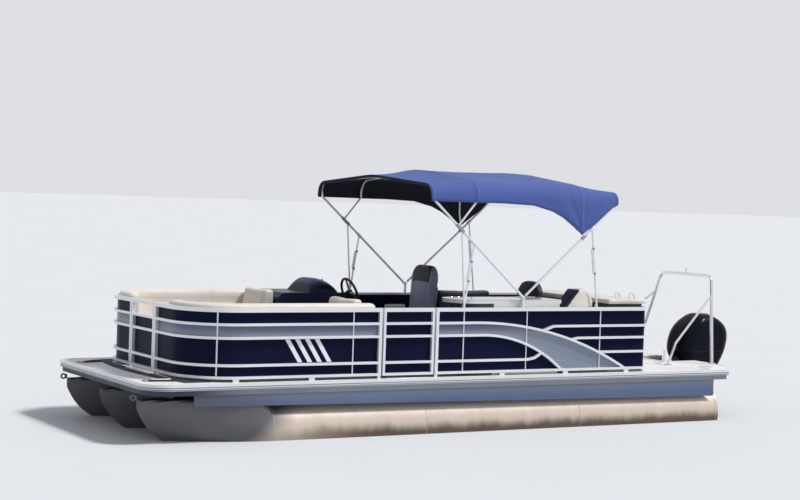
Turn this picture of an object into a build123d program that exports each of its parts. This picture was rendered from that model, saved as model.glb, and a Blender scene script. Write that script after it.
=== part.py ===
from build123d import *
import math
import os

os.makedirs("parts", exist_ok=True)

# Pontoon boat with three tubes, in millimetres: X to the bow, Y to port, Z up.
# The origin is on the centre line at the waterline, halfway along the deck.

# Tubes
tube_radius = 317.5
tube_spacing = 950
tube_centre_z = 82.5
tube_aft_x = -3160
nose_start_x = 2310
stem_x = 3600
nose_stations = (0, 0.28, 0.52, 0.74, 0.9, 0.99)
keel_width = 30
keel_depth = 14
strake_size = 26
tow_eye_hole_radius = 15
tow_eye_radius = 30
tow_eye_thickness = 12

# Deck and what carries it
deck_half_length = 3620
half_beam = 1295
deck_top = 560
deck_plate = 20
bow_corner_radius = 270
stern_corner_x = -3270
stern_bulge = (-3530, 880)
well_half_width = 300
well_front_x = -3180
rub_rail_height = 56
rub_rail_lip = 2
rub_rail_thickness = 20
edge_channel_inset = 24
edge_channel_thickness = 12
edge_channel_bottom = 455
cross_member_spacing = 400
cross_member_count = 17
cross_member_first_x = -3120
cross_member_height = 76
cross_member_flange = 38
cross_member_wall = 5
riser_width = 200
riser_thickness = 36
riser_leg = 45
skirt_inset = 30
skirt_thickness = 4
skirt_aft_x = -3080
skirt_front_x = 3150
skirt_bottom_aft = 275
skirt_bottom_front = 352
floor_thickness = 3
seat_gap = 0.3

# Fence
fence_bow_x = 3170
fence_stern_x = -2220
fence_half = 1213
fence_bow_radius = 550
fence_stern_radius = 110
frame_depth = 32
rail_height = 25
top_rail_height = 38
bottom_rail_z = 602
fourth_rail_z = 718
third_rail_z = 976
second_rail_z = 1103
top_rail_z = 1238
post_width = 32
seam_width = 10
seam_outer = 20
seam_inner = 30
panel_thickness = 3
band_thickness = 1.5
bow_gate_half = 302
side_gate_front_x = 1140
side_gate_aft_x = 516
stern_gate_port_y = -530
stern_gate_starboard_y = -1100
gate_gap = 20

foot_width = 60
bow_foot_places = (2700, 1900)
aft_foot_places = (-300, -1100, -1900)
bow_seam_places = (2873, 1451)
aft_seam_places = (176, -598, -1545)

# Sweep of the second and third rails towards the stern
second_sweep_start_x = 30
second_sweep_radius = 3884
third_sweep_start_x = -50
third_sweep_radius = 1511
upper_stern_rail_z = 1060
middle_stern_rail_z = 933
lower_stern_rail_z = 781
lower_stern_rail_front_x = -1518

# Hinges of the gates
hinge_pin_radius = 4
hinge_clearance = 0.05
barrel_radius = 8
barrel_length = 30
hinge_heights = (650, 1180)

# Furniture
furniture_inset = 42
lounge_inner_y = 500
lounge_back_thickness = 131
base_top_z = 860
seat_top_z = 990
back_top_z = 1300
recliner_top_z = 1340
console_front_x = 1460
console_inner_y = -455
console_top_z = 1300
wheel_centre = (437, -750, 1280)
wheel_radius = 180
wheel_tilt = 20
chair_places = ((-220, -750), (-1200, 0))
pedestal_radius = 36.5
stem_radius = 25
running_clearance = 0.05

# Sun canopy
canopy_half = 1225
canopy_thickness = 8
bow_tube_radius = 12.7
strut_radius = 10
pivot_x = -532
pivot_z = 1360

# Stern gear
arch_tube_radius = 19
arch_foot = (-3530, 700)
arch_top = (-3690, 450, 1560)
arch_brace_z = 1336
arch_brace_kink = (-3007, 680, 807)
arch_brace_foot = (-2888, 700)
tilt_pin_x = -3440
tilt_pin_z = 410
tilt_pin_radius = 18
steer_x = -3545
king_pin_radius = 20
prop_z = -420
prop_radius = 180
prop_shaft_radius = 12


def box_window(x_low, x_high, y_low, y_high):
    """A rectangle in plan that picks a stretch of an outline."""
    with BuildSketch() as window:
        with Locations(((x_low + x_high) / 2, (y_low + y_high) / 2)):
            Rectangle(x_high - x_low, y_high - y_low)
    return window.sketch


def disc(x, y, radius):
    """A circle in plan."""
    with BuildSketch() as circle:
        with Locations((x, y)):
            Circle(radius)
    return circle.sketch


def rise(plan, low, high, mode=Mode.ADD):
    """Extrude a plan sketch between two heights, inside the open part."""
    with BuildSketch(Plane.XY.offset(low)) as level:
        add(plan)
    extrude(level.sketch, amount=high - low, mode=mode)


# Deck outline, outside the rub rail
with BuildSketch() as deck_outline:
    with BuildLine():
        bow_edge = Line((deck_half_length, 0), (deck_half_length, half_beam - bow_corner_radius))
        bow_corner = TangentArc(
            bow_edge @ 1, (deck_half_length - bow_corner_radius, half_beam), tangent=bow_edge % 1
        )
        side_edge = Line(bow_corner @ 1, (stern_corner_x, half_beam))
        stern_edge = ThreePointArc(side_edge @ 1, stern_bulge, (-deck_half_length, well_half_width))
        well_side = Line(stern_edge @ 1, (well_front_x, well_half_width))
        Line(well_side @ 1, (well_front_x, 0))
        mirror(about=Plane.XZ)
    make_face()

# Fence outline, outside the rails
with BuildSketch() as fence_outline:
    with BuildLine():
        front = Line((fence_bow_x, 0), (fence_bow_x, fence_half - fence_bow_radius))
        front_corner = TangentArc(
            front @ 1, (fence_bow_x - fence_bow_radius, fence_half), tangent=front % 1
        )
        fence_side = Line(front_corner @ 1, (fence_stern_x + fence_stern_radius, fence_half))
        rear_corner = TangentArc(
            fence_side @ 1, (fence_stern_x, fence_half - fence_stern_radius), tangent=fence_side % 1
        )
        Line(rear_corner @ 1, (fence_stern_x, 0))
        mirror(about=Plane.XZ)
    make_face()


def ring(outline, outer, inner, windows):
    """The strip between two insets of an outline, kept inside the windows."""
    with BuildSketch() as kept:
        for window in windows:
            add(box_window(*window))
    with BuildSketch() as strip:
        if outer:
            offset(outline.sketch, amount=-outer, mode=Mode.ADD)
        else:
            add(outline.sketch)
        offset(outline.sketch, amount=-inner, mode=Mode.SUBTRACT)
        add(kept.sketch, mode=Mode.INTERSECT)
    return strip.sketch


everywhere = (-deck_half_length - 50, deck_half_length + 50, -half_beam - 50, half_beam + 50)
nose_length = stem_x - nose_start_x
tube_top_z = tube_centre_z + tube_radius
nose_depth = tube_radius * 2
stem_chine_z = 390
shoulder_drop = 8
nose_swell = 4


def nose_section(station, y):
    """One section of the nose: a circle at its start, a thin stem at its end."""
    x = nose_start_x + station * nose_length
    half_width = tube_radius * (1 - station**2)
    keel_z = tube_top_z - nose_depth * math.sqrt(1 - station**2)
    chine_z = tube_centre_z + (stem_chine_z - tube_centre_z) * station**0.75
    keel = Vector(0, keel_z)
    chine = Vector(half_width, chine_z)
    chord = chine - keel
    swell = (math.sqrt(2) - 1) / 2 * (1 - station)
    belly = (keel + chine) * 0.5 + Vector(chord.Y, -chord.X) * swell
    if station == 0:
        shoulder = Vector(half_width * math.cos(math.pi / 4), tube_centre_z + half_width * math.sin(math.pi / 4))
        flank = Vector(half_width * math.cos(math.pi / 8), tube_centre_z + half_width * math.sin(math.pi / 8))
    else:
        shoulder = Vector(half_width * 0.98, tube_top_z - shoulder_drop)
        flank = Vector(half_width, (chine_z + shoulder.Y) / 2)
    with BuildSketch(Plane(origin=(x, y, 0), x_dir=(0, 1, 0), z_dir=(1, 0, 0))) as section:
        with BuildLine():
            ThreePointArc(keel, belly, chine)
            ThreePointArc(chine, flank, shoulder)
            ThreePointArc(shoulder, (0, tube_top_z), (-shoulder.X, shoulder.Y))
            ThreePointArc((-shoulder.X, shoulder.Y), (-flank.X, flank.Y), (-chine.X, chine.Y))
            ThreePointArc((-chine.X, chine.Y), (-belly.X, belly.Y), keel)
        make_face()
    return section.sketch


# Tubes, each with its nose, keel and two lifting strakes
for place, tube_y in (("port", tube_spacing), ("centre", 0), ("starboard", -tube_spacing)):
    with BuildPart() as pontoon:
        loft([nose_section(station, tube_y) for station in nose_stations])
        tube_plane = Plane(origin=(tube_aft_x, tube_y, 0), x_dir=(0, 1, 0), z_dir=(1, 0, 0))
        with BuildSketch(tube_plane):
            with Locations((0, tube_centre_z)):
                Circle(tube_radius)
            with Locations((0, tube_centre_z - tube_radius)):
                Rectangle(keel_width, keel_depth * 2)
            for strake_angle in (-40, -140):
                angle = math.radians(strake_angle)
                with Locations(
                    (tube_radius * math.cos(angle), tube_centre_z + tube_radius * math.sin(angle))
                ):
                    Rectangle(strake_size, strake_size, rotation=strake_angle)
        extrude(amount=nose_start_x - tube_aft_x)
    pontoon.part.label = f"pontoon_{place}"
    export_step(pontoon.part, f"parts/pontoon_{place}.step")

# Tow eyes at the two outer stems
eye_x = stem_x + 26
eye_z = 415
eye_foot_x = nose_start_x + nose_stations[-1] * nose_length + seat_gap
with BuildPart() as tow_eyes:
    for side in (1, -1):
        with BuildSketch(
            Plane(origin=(eye_x, side * tube_spacing, eye_z), x_dir=(1, 0, 0), z_dir=(0, -1, 0))
        ):
            Circle(tow_eye_radius)
            Rectangle(eye_x - eye_foot_x, tow_eye_radius * 1.4, align=(Align.MAX, Align.CENTER))
            Circle(tow_eye_hole_radius, mode=Mode.SUBTRACT)
        extrude(amount=tow_eye_thickness / 2, both=True)
tow_eyes.part.label = "tow_eyes"
export_step(tow_eyes.part, "parts/tow_eyes.step")

# Rub rail round the deck, in white extrusion
deck_underside = deck_top - deck_plate
with BuildPart() as rub_rail:
    rise(ring(deck_outline, 0, rub_rail_thickness, [everywhere]), deck_top - rub_rail_height, deck_top + rub_rail_lip)
rub_rail.part.label = "rub_rail"
export_step(rub_rail.part, "parts/rub_rail.step")

# Deck sheet with a recessed pocket for the cleat at each bow corner
pocket_place = (3330, 905)
pocket_length = 350
pocket_width = 130
pocket_depth = 12
pocket_turn = -13
with BuildPart() as deck:
    with BuildSketch(Plane.XY.offset(deck_underside)):
        offset(deck_outline.sketch, amount=-rub_rail_thickness - seat_gap, mode=Mode.ADD)
    extrude(amount=deck_plate)
    with BuildSketch(Plane.XY.offset(deck_top - pocket_depth)):
        for side in (1, -1):
            with Locations((pocket_place[0], side * pocket_place[1])):
                SlotOverall(pocket_length, pocket_width, rotation=side * pocket_turn)
    extrude(amount=pocket_depth, mode=Mode.SUBTRACT)
deck.part.label = "deck"
export_step(deck.part, "parts/deck.step")

# Grey channel that edges the frame below the rub rail
edge_channel_inner = edge_channel_inset + edge_channel_thickness
with BuildPart() as edge_channel:
    rise(
        ring(deck_outline, edge_channel_inset, edge_channel_inner, [everywhere]),
        edge_channel_bottom,
        deck_underside - seat_gap,
    )
edge_channel.part.label = "edge_channel"
export_step(edge_channel.part, "parts/edge_channel.step")

# Skirts below the edge channel, their lower edge rising towards the bow
skirt_low = 1000
with BuildPart() as side_skirts:
    rise(
        ring(
            deck_outline,
            skirt_inset,
            skirt_inset + skirt_thickness,
            [
                (skirt_aft_x, skirt_front_x, skirt_low, half_beam),
                (skirt_aft_x, skirt_front_x, -half_beam, -skirt_low),
            ],
        ),
        skirt_bottom_aft,
        edge_channel_bottom,
    )
    with BuildSketch(Plane(origin=(0, 0, 0), x_dir=(1, 0, 0), z_dir=(0, -1, 0))):
        with BuildLine():
            Polyline(
                (skirt_aft_x, skirt_bottom_aft),
                (skirt_front_x, skirt_bottom_front),
                (skirt_front_x, skirt_bottom_aft),
                close=True,
            )
        make_face()
    extrude(amount=half_beam, both=True, mode=Mode.SUBTRACT)
side_skirts.part.label = "side_skirts"
export_step(side_skirts.part, "parts/side_skirts.step")

# Cross members: channels from side to side under the deck
member_half = half_beam - edge_channel_inner - seat_gap
member_top = deck_underside - seat_gap
member_bottom = member_top - cross_member_height
member_stations = [
    cross_member_first_x + index * cross_member_spacing for index in range(cross_member_count)
]
with BuildPart() as cross_members:
    with BuildSketch(Plane(origin=(0, 0, 0), x_dir=(1, 0, 0), z_dir=(0, -1, 0))):
        for station in member_stations:
            with Locations((station, (member_top + member_bottom) / 2)):
                Rectangle(cross_member_flange, cross_member_height)
            with Locations((station + cross_member_wall, (member_top + member_bottom) / 2)):
                Rectangle(
                    cross_member_flange,
                    cross_member_height - 2 * cross_member_wall,
                    mode=Mode.SUBTRACT,
                )
    extrude(amount=member_half, both=True)
cross_members.part.label = "cross_members"
export_step(cross_members.part, "parts/cross_members.step")

# Risers: a saddle between each cross member and each tube
with BuildPart() as risers:
    for station in member_stations:
        on_nose = station > nose_start_x
        with BuildSketch(Plane(origin=(station, 0, 0), x_dir=(0, 1, 0), z_dir=(1, 0, 0))):
            riser_top = member_bottom - seat_gap
            riser_foot = tube_top_z + nose_swell if on_nose else tube_centre_z + tube_radius / 2
            for tube_y in (-tube_spacing, 0, tube_spacing):
                with Locations((tube_y, (riser_top + riser_foot) / 2)):
                    Rectangle(riser_width, riser_top - riser_foot)
                    Rectangle(
                        riser_width - 2 * riser_leg,
                        (riser_top - tube_top_z) * 0.6,
                        mode=Mode.SUBTRACT,
                    )
                if not on_nose:
                    with Locations((tube_y, tube_centre_z)):
                        Circle(tube_radius + seat_gap, mode=Mode.SUBTRACT)
        extrude(amount=riser_thickness / 2, both=True)
risers.part.label = "risers"
export_step(risers.part, "parts/risers.step")

# Motor mount at the stern: transom plate, centre box and a knee on each side of the well
transom_front_x = -3350
transom_aft_x = -3400
transom_top_z = 432
transom_bottom_z = 40
pod_half = 150
knee_thickness = 12
knee_gap = 4
transom_half = well_half_width + edge_channel_inner + knee_gap + knee_thickness
transom_shoulder = 160
knee_front_x = member_stations[0] - cross_member_flange / 2 - seat_gap
with BuildPart() as motor_mount:
    with BuildSketch(Plane.YZ.offset(transom_aft_x)):
        with BuildLine():
            Polyline(
                (-transom_half, transom_top_z),
                (transom_half, transom_top_z),
                (transom_half, transom_top_z - transom_shoulder),
                (pod_half, transom_bottom_z),
                (-pod_half, transom_bottom_z),
                (-transom_half, transom_top_z - transom_shoulder),
                close=True,
            )
        make_face()
    extrude(amount=transom_front_x - transom_aft_x)
    with BuildSketch(Plane(origin=(0, 0, 0), x_dir=(1, 0, 0), z_dir=(0, -1, 0))):
        with BuildLine():
            Polyline(
                (tube_aft_x - seat_gap, 300),
                (transom_front_x, 380),
                (transom_front_x, transom_bottom_z),
                (tube_aft_x - seat_gap, -150),
                close=True,
            )
        make_face()
    extrude(amount=pod_half, both=True)
    for side in (1, -1):
        with BuildSketch(
            Plane(
                origin=(0, side * (transom_half - knee_thickness / 2), 0),
                x_dir=(1, 0, 0),
                z_dir=(0, -1, 0),
            )
        ):
            with BuildLine():
                Polyline(
                    (knee_front_x, member_top),
                    (transom_aft_x, member_top),
                    (transom_aft_x, transom_top_z - transom_shoulder),
                    (transom_front_x, transom_top_z - transom_shoulder),
                    (knee_front_x, member_bottom),
                    close=True,
                )
            make_face()
        extrude(amount=knee_thickness / 2, both=True)
motor_mount.part.label = "motor_mount"
export_step(motor_mount.part, "parts/motor_mount.step")

# Beams that carry the swim platforms behind the last cross member
beam_width = 40
beam_rows = (560, 880, 1160)
with BuildSketch() as beam_plan:
    for side in (1, -1):
        for beam_y in beam_rows:
            add(
                box_window(
                    -deck_half_length,
                    knee_front_x,
                    side * beam_y - beam_width / 2,
                    side * beam_y + beam_width / 2,
                )
            )
    offset(deck_outline.sketch, amount=-edge_channel_inner - seat_gap, mode=Mode.INTERSECT)
with BuildPart() as platform_beams:
    rise(beam_plan.sketch, member_bottom, member_top)
platform_beams.part.label = "platform_beams"
export_step(platform_beams.part, "parts/platform_beams.step")

# Woven floor inside the fence
floor_top = deck_top + floor_thickness
floor_inset = frame_depth + 8
with BuildPart() as floor:
    with BuildSketch(Plane.XY.offset(deck_top)):
        offset(fence_outline.sketch, amount=-floor_inset, mode=Mode.ADD)
    extrude(amount=floor_thickness)
floor.part.label = "floor"
export_step(floor.part, "parts/floor.step")

# Navy mat in front of the bow gate
mat_front_x = 3330
mat_half = 1130
mat_tip_x = 3190
with BuildPart() as bow_mat:
    with BuildSketch(Plane.XY.offset(deck_top)):
        with BuildLine():
            mat_front = ThreePointArc((mat_tip_x, mat_half), (mat_front_x, 0), (mat_tip_x, -mat_half))
            Polyline(mat_front @ 1, (2700, -mat_half), (2700, mat_half), mat_front @ 0)
        make_face()
        offset(fence_outline.sketch, amount=6, mode=Mode.SUBTRACT)
    extrude(amount=floor_thickness)
bow_mat.part.label = "bow_mat"
export_step(bow_mat.part, "parts/bow_mat.step")


# Fence rails: each row gives the height and the depth of a rail
bow_rails = (
    (top_rail_z, top_rail_height),
    (second_rail_z, rail_height),
    (third_rail_z, rail_height),
    (fourth_rail_z, rail_height),
    (bottom_rail_z, rail_height),
)
stern_rails = (
    (top_rail_z, top_rail_height),
    (upper_stern_rail_z, rail_height),
    (middle_stern_rail_z, rail_height),
    (lower_stern_rail_z, rail_height),
    (bottom_rail_z, rail_height),
)
frame_bottom = bottom_rail_z - rail_height / 2
frame_top = top_rail_z + top_rail_height / 2
panel_front = frame_depth + seat_gap
panel_back = panel_front + panel_thickness
panel_edge = 4
panel_bottom = frame_bottom + panel_edge
panel_top = top_rail_z - 5
band_gap = 0.5
far_forward = fence_bow_x + 100
far_aft = fence_stern_x - 100
far_out = fence_half + 100
return_depth = 20


def span(side, near, far):
    """The low and the high y of a stretch between two distances from the centre line."""
    return min(side * near, side * far), max(side * near, side * far)


def posts_and_feet(post_windows, foot_windows):
    """Full-height posts, and the feet that carry the bottom rail."""
    for window in post_windows:
        rise(ring(fence_outline, 0, frame_depth, [window]), frame_bottom, frame_top)
    for window in foot_windows:
        rise(ring(fence_outline, 4, frame_depth - 4, [window]), deck_top + seat_gap, frame_bottom)


def seams(places, across):
    """The upright joints of the panels, seen as thin lines behind the rails."""
    for x in places:
        window = (x - seam_width / 2, x + seam_width / 2, *across)
        rise(ring(fence_outline, seam_outer, seam_inner, [window]), frame_bottom, frame_top)


hinge_plate_thickness = 6
hinge_plate_length = 30
hinge_plate_width = 11
hinge_plate_offset = 10


def hinge_bracket(pin, along):
    """A plate with an upright pin at each hinge height, on the post beside a gate."""
    centre_x = pin[0] - along[0] * hinge_plate_offset
    centre_y = pin[1] - along[1] * hinge_plate_offset
    size_x = hinge_plate_length if along[0] else hinge_plate_width
    size_y = hinge_plate_length if along[1] else hinge_plate_width
    plate = box_window(
        centre_x - size_x / 2, centre_x + size_x / 2, centre_y - size_y / 2, centre_y + size_y / 2
    )
    for height in hinge_heights:
        plate_low = height - hinge_plate_thickness
        rise(plate, plate_low, height - seat_gap)
        rise(disc(pin[0], pin[1], hinge_pin_radius), plate_low, height + barrel_length - 2)


# Gate places: hinge pin in plan
pin_offset = gate_gap / 2
bow_gate_pin = (fence_bow_x - frame_depth, -bow_gate_half + pin_offset)
side_gate_pin = (side_gate_aft_x + pin_offset, fence_half - frame_depth)
stern_gate_pin = (fence_stern_x + frame_depth, stern_gate_starboard_y + pin_offset)

# Bow fences. Columns: name, side, aft end
bow_sides = (
    ("port", 1, side_gate_front_x),
    ("starboard", -1, side_gate_aft_x + seat_gap),
)
for place, side, aft_x in bow_sides:
    across = span(side, bow_gate_half, far_out)
    gate_post = span(side, bow_gate_half, bow_gate_half + post_width)
    posts = [
        (fence_bow_x - frame_depth - return_depth, far_forward, *gate_post),
        (aft_x, aft_x + post_width, *across),
    ]
    if side < 0:
        posts.append((side_gate_front_x - post_width / 2, side_gate_front_x + post_width / 2, *across))
    feet = [(x - foot_width / 2, x + foot_width / 2, *across) for x in bow_foot_places]
    with BuildPart() as fence_bow:
        for height, depth in bow_rails:
            rise(
                ring(fence_outline, 0, frame_depth, [(aft_x, far_forward, *across)]),
                height - depth / 2,
                height + depth / 2,
            )
        posts_and_feet(posts, posts + feet)
        seams(bow_seam_places, across)
        if side < 0:
            hinge_bracket(bow_gate_pin, (0, 1))
    fence_bow.part.label = f"fence_bow_{place}"
    export_step(fence_bow.part, f"parts/fence_bow_{place}.step")


def sweep_height(x, start_x, start_z, radius):
    """Height of the centre line of a sweeping rail at one place."""
    return start_z - radius + math.sqrt(radius**2 - (x - start_x) ** 2)


def upright(y):
    """A plane that stands along the boat, drawn in x and z and extruded to starboard."""
    return Plane(origin=(0, y, 0), x_dir=(1, 0, 0), z_dir=(0, -1, 0))


def swept_rail(start_x, start_z, radius, side):
    """One sweeping rail on the flat side of the fence, down to the bottom rail."""
    arc_size = math.degrees(math.acos((bottom_rail_z - start_z + radius) / radius))
    with BuildSketch(upright(side * fence_half)) as swept:
        with BuildLine():
            CenterArc((start_x, start_z - radius), radius, 90, arc_size)
        trace(line_width=rail_height)
    extrude(swept.sketch, amount=side * frame_depth)


def slant(points, side):
    """The short slant by which a level rail leaves a sweeping one."""
    with BuildSketch(upright(side * fence_half)) as short_run:
        with BuildLine():
            Polyline(*points)
        trace(line_width=rail_height)
    extrude(short_run.sketch, amount=side * frame_depth)


# Aft fences: two rails sweep down, and three level rails run on round the stern
second_sweep = (second_sweep_start_x, second_rail_z, second_sweep_radius)
third_sweep = (third_sweep_start_x, third_rail_z, third_sweep_radius)
# Columns: sweep, where the slant leaves it, bend of the slant, level end of the slant
slants = (
    (second_sweep, -800, (-860, 1036), (-932, upper_stern_rail_z)),
    (second_sweep, -1165, (-1210, 926), (-1257, middle_stern_rail_z)),
    (third_sweep, -786, (-700, 734), (-618, fourth_rail_z)),
)
slant_lift = 2
side_strip = 200
# Columns: name, side, edge of the stern gate's opening
aft_sides = (
    ("port", 1, stern_gate_port_y),
    ("starboard", -1, stern_gate_starboard_y),
)
for place, side, stern_y in aft_sides:
    across = span(1, stern_y, side * far_out)
    beside = span(side, fence_half - side_strip, far_out)
    stern_post = (
        far_aft,
        fence_stern_x + frame_depth + return_depth,
        *span(1, stern_y, stern_y + side * post_width),
    )
    front_post = (side_gate_aft_x - post_width, side_gate_aft_x, *across)
    feet = [(x - foot_width / 2, x + foot_width / 2, *beside) for x in aft_foot_places]
    # Columns: height, depth, aft end and front end of the level stretch
    level_rails = (
        (top_rail_z, top_rail_height, far_aft, side_gate_aft_x),
        (bottom_rail_z, rail_height, far_aft, side_gate_aft_x),
        (second_rail_z, rail_height, second_sweep_start_x, side_gate_aft_x),
        (third_rail_z, rail_height, third_sweep_start_x, side_gate_aft_x),
        (fourth_rail_z, rail_height, slants[2][3][0], side_gate_aft_x),
        (upper_stern_rail_z, rail_height, far_aft, slants[0][3][0]),
        (middle_stern_rail_z, rail_height, far_aft, slants[1][3][0]),
        (lower_stern_rail_z, rail_height, far_aft, lower_stern_rail_front_x),
    )
    with BuildPart() as fence_aft:
        for height, depth, aft_x, front_x in level_rails:
            rise(
                ring(fence_outline, 0, frame_depth, [(aft_x, front_x, *across)]),
                height - depth / 2,
                height + depth / 2,
            )
        for sweep_line in (second_sweep, third_sweep):
            swept_rail(*sweep_line, side)
        for sweep_line, leave_x, bend, level in slants:
            slant([(leave_x, sweep_height(leave_x, *sweep_line) + slant_lift), bend, level], side)
        posts_and_feet([front_post, stern_post], [front_post, stern_post] + feet)
        seams(aft_seam_places, beside)
        if side > 0:
            hinge_bracket(side_gate_pin, (1, 0))
        else:
            hinge_bracket(stern_gate_pin, (0, 1))
    fence_aft.part.label = f"fence_aft_{place}"
    export_step(fence_aft.part, f"parts/fence_aft_{place}.step")

# Navy panels behind the rails, at the bow and aft
with BuildPart() as panels_bow:
    for place, side, aft_x in bow_sides:
        window = (
            aft_x + post_width - panel_edge,
            far_forward,
            *span(side, bow_gate_half + post_width - panel_edge, far_out),
        )
        rise(ring(fence_outline, panel_front, panel_back, [window]), panel_bottom, panel_top)
panels_bow.part.label = "panels_bow"
export_step(panels_bow.part, "parts/panels_bow.step")

with BuildPart() as panels_aft:
    for place, side, stern_y in aft_sides:
        window = (
            far_aft,
            side_gate_aft_x - post_width + panel_edge,
            *span(1, stern_y + side * (post_width - panel_edge), side * far_out),
        )
        rise(ring(fence_outline, panel_front, panel_back, [window]), panel_bottom, panel_top)
panels_aft.part.label = "panels_aft"
export_step(panels_aft.part, "parts/panels_aft.step")

# Silver bands between the second and third rails, and between their sweeps
sweep_end_z = bottom_rail_z + rail_height / 2 + seat_gap
band_depth = fence_half - frame_depth + band_thickness
band_front_x = side_gate_aft_x - post_width - band_gap
with BuildPart() as silver_bands:
    for place, side, aft_x in bow_sides:
        across = span(side, bow_gate_half + post_width + band_gap, far_out)
        start_x = aft_x + post_width + band_gap
        windows = [(start_x, far_forward, *across)]
        if side < 0:
            post_edge = post_width / 2 + band_gap
            windows = [
                (start_x, side_gate_front_x - post_edge, *across),
                (side_gate_front_x + post_edge, far_forward, *across),
            ]
        rise(
            ring(fence_outline, frame_depth - band_thickness, frame_depth, windows),
            third_rail_z + rail_height / 2 + seat_gap,
            second_rail_z - rail_height / 2 - seat_gap,
        )
    upper_radius = second_sweep_radius - rail_height / 2 - seat_gap
    lower_radius = third_sweep_radius + rail_height / 2 + seat_gap
    upper_centre = (second_sweep_start_x, second_rail_z - second_sweep_radius)
    lower_centre = (third_sweep_start_x, third_rail_z - third_sweep_radius)
    upper_size = math.degrees(math.acos((sweep_end_z - upper_centre[1]) / upper_radius))
    lower_size = math.degrees(math.acos((sweep_end_z - lower_centre[1]) / lower_radius))
    for side in (1, -1):
        with BuildSketch(upright(side * band_depth)) as swept_band:
            with BuildLine():
                upper_arc = CenterArc(upper_centre, upper_radius, 90, upper_size)
                lower_arc = CenterArc(lower_centre, lower_radius, 90, lower_size)
                Line(upper_arc @ 1, lower_arc @ 1)
                upper_level = Line(upper_arc @ 0, (band_front_x, (upper_arc @ 0).Y))
                lower_level = Line(lower_arc @ 0, (band_front_x, (lower_arc @ 0).Y))
                Line(upper_level @ 1, lower_level @ 1)
            make_face()
        extrude(swept_band.sketch, amount=side * band_thickness)
silver_bands.part.label = "silver_bands"
export_step(silver_bands.part, "parts/silver_bands.step")

# Four slanted stripes on each side, ahead of the side gate
stripe_pitch = 106
stripe_width = 50
stripe_top_x = 2163
stripe_lean = 142
stripe_margin = 6
stripe_top_z = third_rail_z - rail_height / 2 - stripe_margin
stripe_bottom_z = fourth_rail_z + rail_height / 2 + stripe_margin
with BuildPart() as side_stripes:
    for side in (1, -1):
        with BuildSketch(upright(side * band_depth)) as stripes:
            for index in range(4):
                top_x = stripe_top_x - index * stripe_pitch
                with BuildLine():
                    Polyline(
                        (top_x - stripe_width / 2, stripe_top_z),
                        (top_x + stripe_width / 2, stripe_top_z),
                        (top_x + stripe_width / 2 - stripe_lean, stripe_bottom_z),
                        (top_x - stripe_width / 2 - stripe_lean, stripe_bottom_z),
                        close=True,
                    )
                make_face()
        extrude(stripes.sketch, amount=side * band_thickness)
side_stripes.part.label = "side_stripes"
export_step(side_stripes.part, "parts/side_stripes.step")

# Gates: a leaf of rails and stiles, its panel behind it, and two barrels on the pins
stile_width = 25
knuckle_half = 5


def leaf_box(gate, start, end, back, front):
    """A plan box on a leaf: start and end along it, back and front from its inner face."""
    pin, along, outward = gate
    xs = [pin[0] + along[0] * s + outward[0] * t for s in (start, end) for t in (back, front)]
    ys = [pin[1] + along[1] * s + outward[1] * t for s in (start, end) for t in (back, front)]
    return box_window(min(xs), max(xs), min(ys), max(ys))


# Columns: name, (pin, direction along the opening, outward face), opening, rails, panel top
gates = (
    ("bow_gate", (bow_gate_pin, (0, 1), (1, 0)), 2 * bow_gate_half, bow_rails, second_rail_z - 5),
    (
        "side_gate",
        (side_gate_pin, (1, 0), (0, 1)),
        side_gate_front_x - side_gate_aft_x,
        bow_rails,
        panel_top,
    ),
    (
        "stern_gate",
        (stern_gate_pin, (0, 1), (-1, 0)),
        stern_gate_port_y - stern_gate_starboard_y,
        stern_rails,
        panel_top,
    ),
)
for gate_name, gate, opening, rails, leaf_panel_top in gates:
    pin = gate[0]
    leaf_start = pin_offset
    leaf_end = opening - pin_offset - gate_gap
    with BuildPart() as leaf:
        for height, depth in rails:
            rise(leaf_box(gate, leaf_start, leaf_end, 0, frame_depth), height - depth / 2, height + depth / 2)
        for start in (leaf_start, leaf_end - stile_width):
            rise(leaf_box(gate, start, start + stile_width, 0, frame_depth), frame_bottom, frame_top)
        for height in hinge_heights:
            knuckle = leaf_box(gate, 0, leaf_start + knuckle_half, -knuckle_half, knuckle_half)
            rise(knuckle, height, height + barrel_length)
            rise(disc(*pin, barrel_radius), height, height + barrel_length)
            bore = disc(*pin, hinge_pin_radius + hinge_clearance)
            rise(bore, height, height + barrel_length, mode=Mode.SUBTRACT)
    leaf.part.label = f"{gate_name}_frame"
    export_step(leaf.part, f"parts/{gate_name}_frame.step")

    with BuildPart() as leaf_panel:
        back_face = leaf_box(
            gate,
            leaf_start + stile_width - panel_edge,
            leaf_end - panel_edge,
            -seat_gap - panel_thickness,
            -seat_gap,
        )
        rise(back_face, panel_bottom, leaf_panel_top)
    leaf_panel.part.label = f"{gate_name}_panel"
    export_step(leaf_panel.part, f"parts/{gate_name}_panel.step")


def inside(inset, window):
    """The part of the room inside the fence that lies in a window."""
    with BuildSketch() as room:
        offset(fence_outline.sketch, amount=-inset, mode=Mode.ADD)
        add(box_window(*window), mode=Mode.INTERSECT)
    return room.sketch


def level_edges(piece, height):
    """The edges of the open part that lie at one height."""
    return piece.edges().filter_by_position(Axis.Z, height - 0.01, height + 0.01)


# Bow lounges: bases with a recessed foot, seats, and backs along the fence
furniture_foot = floor_top + seat_gap
toe_height = 90
toe_depth = 45
cushion_overhang = 12
recliner_foot_depth = 185
recliner_top_depth = 105
recliner_outer_y = fence_half - furniture_inset - lounge_back_thickness - 5
cushion_edge = 26
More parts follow.
